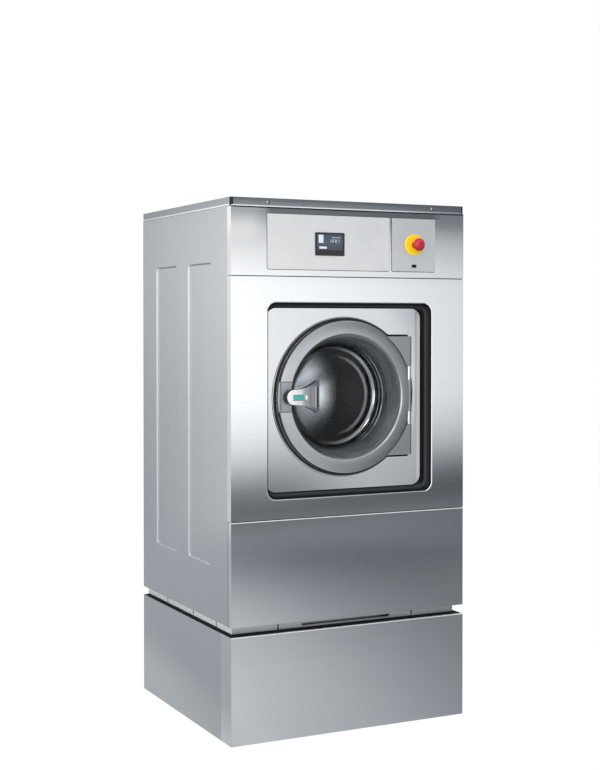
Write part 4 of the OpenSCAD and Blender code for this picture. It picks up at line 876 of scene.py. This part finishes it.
bm = bmesh.new()
rings = []
for step in range(DISH_STEPS + 1):
    share = 0.1 + 0.9 * step / DISH_STEPS
    r = DISH_R * share
    rings.append(dish_ring(bm, r, DISH_SLOPE * r - DISH_CROWN * r * r, FLUTE * share * (1.2 - share)))
smooth_faces = []
for first, second in zip(rings, rings[1:]):
    smooth_faces += join_rings(bm, first, second)
join_rings(bm, rings[-1], dish_ring(bm, DISH_R + DISH_EDGE, 0.0008, 0.0))
bm.faces.new(rings[0])
for face in smooth_faces:
    face.smooth = True
bmesh.ops.recalc_face_normals(bm, faces=bm.faces[:])
bm.faces.ensure_lookup_table()
if bm.faces[0].normal.y > 0:
    bmesh.ops.reverse_faces(bm, faces=bm.faces[:])

# %% Finish the dish
HUB_SHADE_R = (0.072, 0.145)
f = Finish("hub steel, polished to dull")
worn = f.noise(26.0, 4.0, 0.6)
polished = f.greys(worn, (0.35, 0.84), (0.6, 1.0))
# Painted shade: beyond its middle the dish is painted dark.
hub_tone_with_painted_shade = f.blend(f.step(from_axis(f), *HUB_SHADE_R), polished, grey(0.08))
hub_steel = f.principled(Base_Color=hub_tone_with_painted_shade, Metallic=1.0, Roughness=worn * 0.10 + 0.12)
drum_star = piece_from(bm, "drum_star", "drum", hub_steel)
sheet = drum_star.modifiers.new("sheet", "SOLIDIFY")
sheet.thickness = 0.001

# %% [markdown]
# ## The edge of the recess
# The cut edge of the front panel is rolled over, and on its right side it is painted a pale matt highlight.
# The pan's lip behind it carries a black line of painted shade. Both follow the same rounded rectangle, so
# one tree sweeps a round section along it, once for the steel and once for the black line. The same tree
# draws the fine dark joints round the two control plates.

# %% A tree that sweeps a section round a rectangle
panel_low, panel_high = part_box("front_panel")
PAN_FLANGE = 0.012
OPENING_R = 0.025
PLATE_R = 0.005
PLATE_GAP = 0.0006
UPRIGHT_TURN = (math.pi / 2, 0, 0)
edge = Plan("rolled edge", {"Width": 0.5, "Height": 0.5, "Corner": 0.025, "Section": 0.0015,
                            "Place": (0, 0, 0)})
path = edge.node("GeometryNodeCurvePrimitiveQuadrilateral", {"mode": "RECTANGLE"},
                 {0: edge.value("Width"), 1: edge.value("Height")})
bent = edge.node("GeometryNodeFilletCurve", {"mode": "POLY"},
                 {0: path, "Count": 12, "Radius": edge.value("Corner")})
section = edge.node("GeometryNodeCurvePrimitiveCircle", None,
                    {"Resolution": 12, "Radius": edge.value("Section")})
tube = edge.node("GeometryNodeCurveToMesh", None, {0: bent, 1: section})
stood = edge.placed(tube, Translation=edge.value("Place"), Rotation=UPRIGHT_TURN)
edge.finish(edge.node("GeometryNodeSetShadeSmooth", None, {0: stood}), front_steel)


def edge_round(name, box, grow_by, corner, section, depth, material):
    low, high = box
    return grow(name, edge, {
        "Width": high[X] - low[X] + 2 * grow_by, "Height": high[Z] - low[Z] + 2 * grow_by, "Corner": corner,
        "Section": section, "Place": ((low[X] + high[X]) / 2, panel_low[Y] + depth, (low[Z] + high[Z]) / 2),
    }, "cabinet", material)


# %% Sweep the rolled edge, the black line of painted shade and the joints
RIM_OUT = 0.0015
SHADE_LINE_IN = -0.0009
f = Finish("recess rim, polished")
# Painted highlight: the rim's right side is a pale matt tone.
painted_highlight_side = f.step(f.along(X), 0.22, 0.24)
rim_rough = painted_highlight_side * 0.4 + cast_grain(f) * 0.12 + 0.08
rim_steel = f.principled(Base_Color=f.blend(painted_highlight_side, grey(0.80), grey(0.96)), Metallic=1 - painted_highlight_side,
                         Roughness=rim_rough)
pan_box = (pan_low, pan_high)
edge_round("recess_rim", pan_box, RIM_OUT - PAN_FLANGE, OPENING_R + RIM_OUT, 0.0015, 0.0002,
           rim_steel)
for name, node in (("display_joint", "display_plate"), ("stop_joint", "stop_plate")):
    edge_round(name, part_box(node), PLATE_GAP / 2, PLATE_R, 0.0010, 0.0002, rubber)
# Painted shade: a matt black line along the recess's edge.
edge_round("recess_edging", pan_box, SHADE_LINE_IN - PAN_FLANGE, OPENING_R + SHADE_LINE_IN, 0.0013, 0.0012,
           matt_black)

# %% [markdown]
# ## Screws
# Each screw head gets a cross recess and a dark ring of painted shade round it. The heads are found by
# taking the screws' mesh apart into its loose pieces, and one tree puts a copy of the small shape on every
# point.

# %% Find the screw heads
def loose_boxes(name):
    bm = bmesh.new()
    bm.from_mesh(nodes[name].data)
    bmesh.ops.remove_doubles(bm, verts=bm.verts, dist=0.00001)
    left = set(bm.verts)
    boxes = []
    while left:
        heap = [left.pop()]
        found = []
        while heap:
            vert = heap.pop()
            found.append(vert.co.copy())
            for edge_of in vert.link_edges:
                other = edge_of.other_vert(vert)
                if other in left:
                    left.remove(other)
                    heap.append(other)
        spans = [sorted(c[i] for c in found) for i in (X, Y, Z)]
        boxes.append(([s[0] for s in spans], [s[-1] for s in spans]))
    bm.free()
    return sorted(boxes)


HEAD_H = 0.003
screws = loose_boxes("case_screws")
head_r = max(high[X] - low[X] for low, high in screws) / 2
slot_points = []
shade_ring_points = []
for low, high in screws:
    middle = [(a + b) / 2 for a, b in zip(low, high)]
    front = middle[Y] < 0
    slot_points.append((middle[X], low[Y] if front else high[Y], middle[Z]))
    shade_ring_points.append((middle[X], low[Y] + HEAD_H if front else high[Y] - HEAD_H, middle[Z]))
print("screws:", len(screws), "head radius:", round(head_r, 4))

# %% Cut the cross recesses and lay the rings of painted shade
cross = Plan("cross recess", {"Reach": 0.004, "Width": 0.001})
bars = cross.node("GeometryNodeJoinGeometry")
for turn in (0.0, math.pi / 2):
    size = cross.join(cross.value("Reach"), 0.0002, cross.value("Width"))
    bar = cross.placed(cross.node("GeometryNodeMeshCube", None, {0: size}), Rotation=(0, turn, 0))
    cross.tree.links.new(bar.socket, bars.socket.node.inputs[0])
cross.finish(cross.copies(cross.value("Points"), bars), black_plastic)
grow("screw_slots", cross, {"Reach": head_r * 0.9, "Width": head_r * 0.22}, "cabinet",
     black_plastic, slot_points)

# Painted shade: a dark rubber disc under each head stands in for the shade round it.
washer = Plan("washer", {"Radius": 0.006, "Thickness": 0.0005})
disc = washer.node("GeometryNodeMeshCylinder", None, {"Vertices": 24, "Radius": washer.value("Radius"),
                                                      "Depth": washer.value("Thickness")})
faced = washer.placed(disc, Rotation=UPRIGHT_TURN)
washer.finish(washer.copies(washer.value("Points"), faced), rubber)
grow("screw_washers", washer, {"Radius": head_r + 0.0012, "Thickness": 0.0008}, "cabinet",
     rubber, shade_ring_points)

# %% [markdown]
# ## Sloped ends of the pressed fields
# A pressed field has no square corner at its ends: the sheet slopes down to it. A wedge at the top and one
# at the bottom of each of the four fields give that slope, the upper ones in shade.

# %% Wedges in the side fields
FIELD_FRONT = 0.127
FIELD_PITCH = 0.245
FIELD_W = 0.167
FIELD_R = 0.015
FIELD_DEPTH = 0.004
FIELD_Z = (0.446, 1.245)
SLOPE = 0.0042


def wedge(bm, corners, y0, y1):
    ends = [[bm.verts.new((x, y, z)) for x, z in corners] for y in (y0, y1)]
    bm.faces.new(ends[0])
    bm.faces.new(ends[1][::-1])
    join_rings(bm, ends[1], ends[0])


def field_wedges(name, z, rise, material):
    bm = bmesh.new()
    for side in (-1, 1):
        outer = side * (panel_high[X] - 0.0002)
        inner = side * (panel_high[X] - FIELD_DEPTH - 0.0001)
        for i in range(2):
            y = panel_low[Y] + FIELD_FRONT + i * FIELD_PITCH
            wedge(bm, [(outer, z), (inner, z), (inner, z + rise)], y + FIELD_R, y + FIELD_W - FIELD_R)
    bmesh.ops.recalc_face_normals(bm, faces=bm.faces[:])
    return piece_from(bm, name, "cabinet", material)


field_wedges("field_tops", FIELD_Z[1] - 0.0001, -SLOPE, satin("pressed edge in shade", 0.33, 0.5, 0.5))
field_wedges("field_sills", FIELD_Z[0] + 0.0001, SLOPE, satin("pressed edge in light", 0.50, 0.5, 0.3))

# %% [markdown]
# ## Louvre hoods on the rear
# Each slot in the rear panel has a hood pressed out over it, open downwards. A grid bent by two simple
# formulas gives one hood: it stands out most at its lower edge and fades towards its ends. A second grid of
# points repeats it.

# %% Press the hoods
LOUVRE_LOW = 0.637
LOUVRE_PITCH = 0.024
LOUVRE_ROWS = 9
LOUVRE_MID = LOUVRE_LOW - 0.002 + LOUVRE_PITCH * (LOUVRE_ROWS - 1) / 2
_, rear_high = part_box("rear_panel")
hood = Plan("louvre hood", {"Width": 0.12, "Height": 0.012, "Stand": 0.007, "Apart": 0.32, "Pitch": 0.024,
                            "Rows": 9, "Place": (0, 0, 0)})
blank = hood.node("GeometryNodeMeshGrid", None, {0: 1.0, 1: 1.0, 2: 25, 3: 8})
across, upright, _ = hood.split(hood.node("GeometryNodeInputPosition"))
upward = upright + 0.5
ends = 1.0 - hood.math("ABSOLUTE", across * 2.0) ** 8.0
bulge = hood.math("COSINE", upward * (math.pi / 2)) * ends
moved = hood.join(across * hood.value("Width"), bulge * hood.value("Stand"), upward * hood.value("Height"))
pressed = hood.node("GeometryNodeSetPosition", None, {0: blank, "Position": moved})
smooth = hood.node("GeometryNodeSetShadeSmooth", None, {0: pressed})
rise = hood.value("Pitch") * (hood.value("Rows") - 1.0)
places = hood.node("GeometryNodeMeshGrid", None,
                   {0: hood.value("Apart"), 1: rise, 2: 2, 3: hood.value("Rows")})
stood = hood.placed(places, Rotation=UPRIGHT_TURN, Translation=hood.value("Place"))
hood.finish(hood.copies(stood, smooth), side_steel)
louvre_hoods = grow("louvre_hoods", hood, {
    "Width": 0.128, "Height": 0.014, "Stand": 0.007, "Apart": 0.32, "Pitch": LOUVRE_PITCH,
    "Rows": LOUVRE_ROWS, "Place": (0.0, rear_high[Y], LOUVRE_MID),
}, "cabinet", side_steel)
sheet = louvre_hoods.modifiers.new("sheet", "SOLIDIFY")
sheet.thickness = 0.0012

# %% [markdown]
# ## Small trims
# A black sheet of painted shade lies between the machine and its plinth, steel caps close the ends of the
# base rail, a black strip of painted shade hangs under the cover, dark strips fill the seams between the
# front panels, black strips of painted shade close the hinge lugs, a black strip of painted shade and a
# bright strip fill the grip's groove, and a pale enamel spot sits beside the coloured plate. All are small
# blocks with rounded edges.

# %% Helpers for the trims
def trim(name, boxes, body, material, radius=0.0002):
    bm = bmesh.new()
    for low, high in boxes:
        add_box(bm, low, high)
    bmesh.ops.bevel(bm, geom=bm.edges[:], offset=radius, segments=2, affect="EDGES")
    return piece_from(bm, name, body, material)


def depth(mm):
    return panel_low[Y] + mm / 1000


def both_sides(near, far, middle=0.0):
    return [sorted((middle + side * near, middle + side * far)) for side in (-1, 1)]


# %% Trims on the cabinet
GAP = 0.0002
RAIL_WALL = 0.0022
SEAM_X = 0.3475
SHADE_STRIP_IN = 0.0025
cover_low, cover_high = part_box("top_cover")
fascia_low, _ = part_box("control_fascia")
# Painted shade: a thin black sheet on the plinth's top flange.
shade_sheet_z = (plinth_high[Z], plinth_high[Z] + 0.0008)
shade_sheet_x = plinth_high[X] - 0.0015
shade_sheet_y = rail_low[Y] - GAP
shade_sheet_boxes = [((-shade_sheet_x, depth(9), shade_sheet_z[0]), (shade_sheet_x, shade_sheet_y, shade_sheet_z[1]))]
for x0, x1 in both_sides(shade_sheet_x, rail_high[X] + GAP):
    shade_sheet_boxes.append(((x0, shade_sheet_y, shade_sheet_z[0]), (x1, depth(648), shade_sheet_z[1])))
cap_boxes = []
for x0, x1 in both_sides(rail_high[X] - 0.0014, rail_high[X] - GAP):
    cap_boxes.append(((x0, rail_low[Y] + RAIL_WALL, rail_low[Z] + RAIL_WALL),
                      (x1, rail_high[Y] - RAIL_WALL, rail_high[Z] - RAIL_WALL)))
# Painted shade: a matt black strip under the cover's foot.
shade_strip_boxes = [((cover_low[X] + SHADE_STRIP_IN, depth(-1.3), cover_low[Z] - 0.0032),
               (cover_high[X] - SHADE_STRIP_IN, depth(0.2), cover_low[Z]))]
seam_boxes = []
for below, above in ((lower_high[Z], panel_low[Z]), (panel_high[Z], fascia_low[Z])):
    seam_boxes.append(((-SEAM_X, depth(0.4), below + 0.0001), (SEAM_X, depth(4), above - 0.0001)))
trim("rail_caps", cap_boxes, "cabinet", rail_steel, 0.0001)
trim("plinth_shade_sheet", shade_sheet_boxes, "cabinet", matt_black, 0.0001)
trim("cover_shade_strip", shade_strip_boxes, "cabinet", matt_black, 0.0004)
trim("panel_seams", seam_boxes, "cabinet", matt_black, 0.0001)

# %% Trims on the door and the lever
LUG_FAR = 0.161
LUG_SHADE_T = 0.0048
LUG_X = (0.1275, 0.1875)
GROOVE_HALF = 0.0273
GROOVE_X = (lever_high[X] - 0.0107, lever_high[X] - 0.0065)
STRIP_X = lever_high[X] - 0.0121
SPOT_X = (-0.1412, -0.1346)
cap_boxes = []
# Painted shade: matt black strips at the top and bottom of the hinge lugs.
for z0, z1 in both_sides(LUG_FAR, LUG_FAR + LUG_SHADE_T, axis_z):
    cap_boxes.append(((axis_x + LUG_X[0], depth(19.6), z0), (axis_x + LUG_X[1], depth(33), z1)))
groove_z = (lever_z - GROOVE_HALF, lever_z + GROOVE_HALF)
# Painted shade: a matt black strip fills the grip's groove.
groove_shade_box = ((GROOVE_X[0], depth(0.2), groove_z[0]), (GROOVE_X[1], depth(5), groove_z[1]))
strip_box = ((STRIP_X, depth(0.0), groove_z[0]), (GROOVE_X[0], depth(5), groove_z[1]))
spot_box = ((SPOT_X[0], depth(-5.9), lever_z - 0.0062), (SPOT_X[1], depth(-4.5), lever_z + 0.0042))
enamel = skin("pale enamel", (0.95, 0.95, 0.94, 1), 0.3, 700.0, 0.02)
trim("lug_shade_strips", cap_boxes, "door", matt_black, 0.0005)
trim("grip_groove_shade", [groove_shade_box], "handle", matt_black, 0.0003)
trim("grip_strip", [strip_box], "handle", bright_metal)
trim("lever_spot", [spot_box], "handle", enamel)

# %% [markdown]
# ## The joint round the handle block
# The block is let into the ring and ground flush, so only a fine dark joint shows. The joint follows the
# ring's crowned face: its depth at each point comes from the distance to the door's axis.

# %% Draw the joint
RING_IN = 0.1695
RING_OUT = 0.2018
RING_FACE = 18
RING_CROWN = 4
JOINT_W = 0.0016
JOINT_X = -0.196
JOINT_SECTION = ((-0.5, -0.0002), (0.5, -0.0002), (0.5, 0.0006), (-0.5, 0.0006))


def on_ring(x, z):
    share = (math.hypot(x, z) - RING_IN) / (RING_OUT - RING_IN)
    return depth(RING_FACE + RING_CROWN * share * share)


def joint_run(bm, start, end, sideways, steps=8):
    rows = []
    for i in range(steps + 1):
        x, z = [a + (b - a) * i / steps for a, b in zip(start, end)]
        row = []
        for along, below in JOINT_SECTION:
            px = x + sideways[0] * along * JOINT_W
            pz = z + sideways[1] * along * JOINT_W
            row.append(bm.verts.new((axis_x + px, on_ring(px, pz) + below, axis_z + pz)))
        rows.append(row)
    for first, second in zip(rows, rows[1:]):
        join_rings(bm, first, second)
    bm.faces.new(rows[0][::-1])
    bm.faces.new(rows[-1])


block_low, block_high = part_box("handle_block")
joint_z = (block_low[Z] - axis_z, block_high[Z] - axis_z)
bm = bmesh.new()
for z in joint_z:
    joint_run(bm, (JOINT_X, z), (-math.sqrt(RING_IN ** 2 - z ** 2), z), (0, 1))
joint_run(bm, (JOINT_X, joint_z[0]), (JOINT_X, joint_z[1]), (1, 0))
bmesh.ops.recalc_face_normals(bm, faces=bm.faces[:])
piece_from(bm, "block_joint", "door", matt_black)

# %% [markdown]
# ## Crisp but not razor-sharp edges
# Folded sheet has a small radius along every bend, and that thin line of light makes it read as metal. A
# Weld and a Bevel modifier on the solid model's panels give it without changing their shape.

# %% Soften the panel edges
def soften(names, width, segments=2):
    for name in names:
        weld = nodes[name].modifiers.new("weld", "WELD")
        weld.merge_threshold = 0.00001
        bevel = nodes[name].modifiers.new("edge", "BEVEL")
        bevel.width = width
        bevel.segments = segments
        bevel.limit_method = "ANGLE"
        bevel.angle_limit = math.radians(40)
        bevel.use_clamp_overlap = False
        bevel.harden_normals = True
    print("softened:", len(names), "nodes")


soften(["plinth_front", "plinth_left", "plinth_right", "plinth_rear", "lower_front_panel", "control_fascia",
        "display_plate", "stop_plate"], 0.0006)

# %% [markdown]
# ## The room
# A pale floor and a white surround. Both are white to the camera, in reflections and through glass, but
# light the machine less than that, so that its colours come out as they are written and its shadow stays on
# the floor.

# %% The floor and the surround
FLOOR_HALF = 9


def square(half_x, half_y):
    return [(-half_x, -half_y), (half_x, -half_y), (half_x, half_y), (-half_x, half_y)]


def staged(name, vertices, faces, material):
    mesh = bpy.data.meshes.new(name)
    mesh.from_pydata(vertices, [], faces)
    mesh.materials.append(material)
    made = bpy.data.objects.new(name, mesh)
    bpy.context.collection.objects.link(made)
    print(name, "faces:", len(faces))
    return made


def seen_directly(f):
    rays = f.node("ShaderNodeLightPath")
    seen = f.maximum(rays.beside("Is Camera Ray"), rays.beside("Is Glossy Ray"))
    return f.maximum(seen, rays.beside("Is Transmission Ray"))


f = Finish("pale floor")
matt = f.node("ShaderNodeBsdfDiffuse", None, {0: (0.82, 0.82, 0.82, 1)})
white = f.node("ShaderNodeEmission", None, {0: (1, 1, 1, 1), 1: 1.05})
f.surface(f.mix(seen_directly(f) * 0.92, matt, white))
staged("floor", [(x, y, 0) for x, y in square(FLOOR_HALF, FLOOR_HALF)], [(0, 1, 2, 3)], f.material)

world = bpy.data.worlds.new("surround")
bpy.context.scene.world = world
f = Finish("surround", world)
plain = f.node("ShaderNodeBackground", None, {1: 0.65})
bright = f.node("ShaderNodeBackground", None, {0: (1, 1, 1, 1), 1: 1.0})
f.surface(f.mix(seen_directly(f), plain, bright))

# %% [markdown]
# ## The studio wall and floor, as the steel sees them
# Steel shows the room more than itself. A round wall stands 3.4 m off, seen by reflections alone. In front
# it is white from knee to shoulder height, dark above and below, and darker towards the right, which is
# what gives a flat steel front its long fade. A graded floor sheet does the same for the plinth.

# %% The studio wall
WALL_R = 3.4
WALL_H = 3.2
WALL_SIDES = 48
WINDOW_MID = 0.34


def light_sheet(name, vertices, faces, f, level):
    material = f.surface(f.node("ShaderNodeEmission", None, {0: level, 1: 1.0}))
    material.cycles.emission_sampling = "NONE"
    made = staged(name, vertices, faces, material)
    made.visible_camera = False
    made.visible_shadow = False
    made.visible_diffuse = False
    return made


def hoop_faces(sides):
    return [(i, (i + 1) % sides, sides + (i + 1) % sides, sides + i) for i in range(sides)]


f = Finish("studio wall")
height = f.along(Z) * (1 / WALL_H)
sideways = f.along(X) * (0.5 / WALL_R) + 0.5
narrow = f.step(f.along(X), 0.8, 2.6) * 0.26 + 1.0
window = (height - WINDOW_MID) * narrow + WINDOW_MID
front_height = f.greys(window, (0.0, 0.30), (0.018, 0.32), (0.032, 0.14), (0.05, 0.13), (0.078, 0.22),
                       (0.10, 0.46), (0.13, 0.85), (0.17, 1.15), (0.22, 1.38), (0.40, 1.38), (0.437, 1.18),
                       (0.468, 0.98), (0.490, 0.80), (0.499, 0.6), (0.506, 0.26), (0.514, 0.18),
                       (0.528, 0.36), (0.56, 0.34), (0.7, 0.25), (1.0, 0.5))
front_side = f.greys(sideways, (0.0, 1.0), (0.638, 1.0), (0.713, 0.87), (0.787, 0.68), (0.83, 0.55),
                     (0.86, 0.40), (1.0, 0.36))
back_height = f.greys(height, (0.0, 0.72), (0.2, 0.82), (0.4, 1.0), (0.5, 1.0), (0.56, 0.85), (0.7, 0.7))
back_side = f.greys(sideways, (0.0, 1.1), (0.22, 1.04), (0.262, 0.84), (0.294, 0.60), (0.33, 0.48),
                    (0.6, 0.6), (1.0, 0.9))
front_tone = f.blend(1.0, front_height, front_side, "MULTIPLY")
back_tone = f.blend(1.0, back_height, back_side, "MULTIPLY")
wall_tone = f.blend(f.step(f.along(Y), -0.8, 0.8), front_tone, back_tone)
turns = [math.tau * i / WALL_SIDES for i in range(WALL_SIDES)]
hoop = [(WALL_R * math.cos(turn), WALL_R * math.sin(turn)) for turn in turns]
points = [(x, y, z) for z in (0.0, WALL_H) for x, y in hoop]
light_sheet("studio_wall", points, hoop_faces(WALL_SIDES), f, wall_tone)

# %% The floor sheet
SHEET_Z = 0.0008
f = Finish("floor sheet")
slant = f.along(X) + f.along(Y) * 0.12
near_tone = f.greys(slant * 0.25 + 0.5, (0.0, 0.60), (0.32, 0.58), (0.37, 0.52), (0.41, 0.80), (0.43, 0.80),
                    (0.45, 0.72), (0.47, 0.68), (0.52, 0.58), (0.57, 0.45), (0.62, 0.35), (0.67, 0.28),
                    (0.75, 0.22), (1.0, 0.2))
far_tone = f.greys(f.along(Y) * 0.25 + 1.0, (0.17, 0.62), (0.23, 0.74), (0.35, 0.78), (0.45, 0.97),
                   (0.55, 1.04), (0.75, 1.02), (0.85, 0.90), (0.9, 0.84))
points = [(x, y, SHEET_Z) for x, y in square(WALL_R, WALL_R) + square(0.3502, 0.3252)]
light_sheet("floor_sheet", points, hoop_faces(4), f, f.blend(1.0, near_tone, far_tone, "MULTIPLY"))


# %% [markdown]
# ## Lamps
# Three soft boxes light the machine at a plain level. The one overhead stays out of reflections, and the
# narrow one on the left shows as a soft upright streak in what is polished.

# %% Hang the lamps
def lamp(name, place, target, size, power):
    data = bpy.data.lights.new(name, "AREA")
    data.shape = "RECTANGLE"
    data.size = size[0]
    data.size_y = size[1]
    data.energy = power
    made = bpy.data.objects.new(name, data)
    made.location = place
    made.rotation_euler = (Vector(target) - Vector(place)).to_track_quat("-Z", "Y").to_euler()
    bpy.context.collection.objects.link(made)
    made.visible_camera = False
    print(name, power, "W")
    return made


lamp("key box", (-2.2, -3.0, 3.2), (0, 0, 0.8), (1.8, 1.8), 60)
lamp("top box", (0.4, -0.6, 3.6), (0, 0, 0.6), (2.2, 2.2), 40).visible_glossy = False
lamp("strip box", (-2.5, -2.5, 1.0), (0, 0, 0.95), (0.3, 1.5), 32)
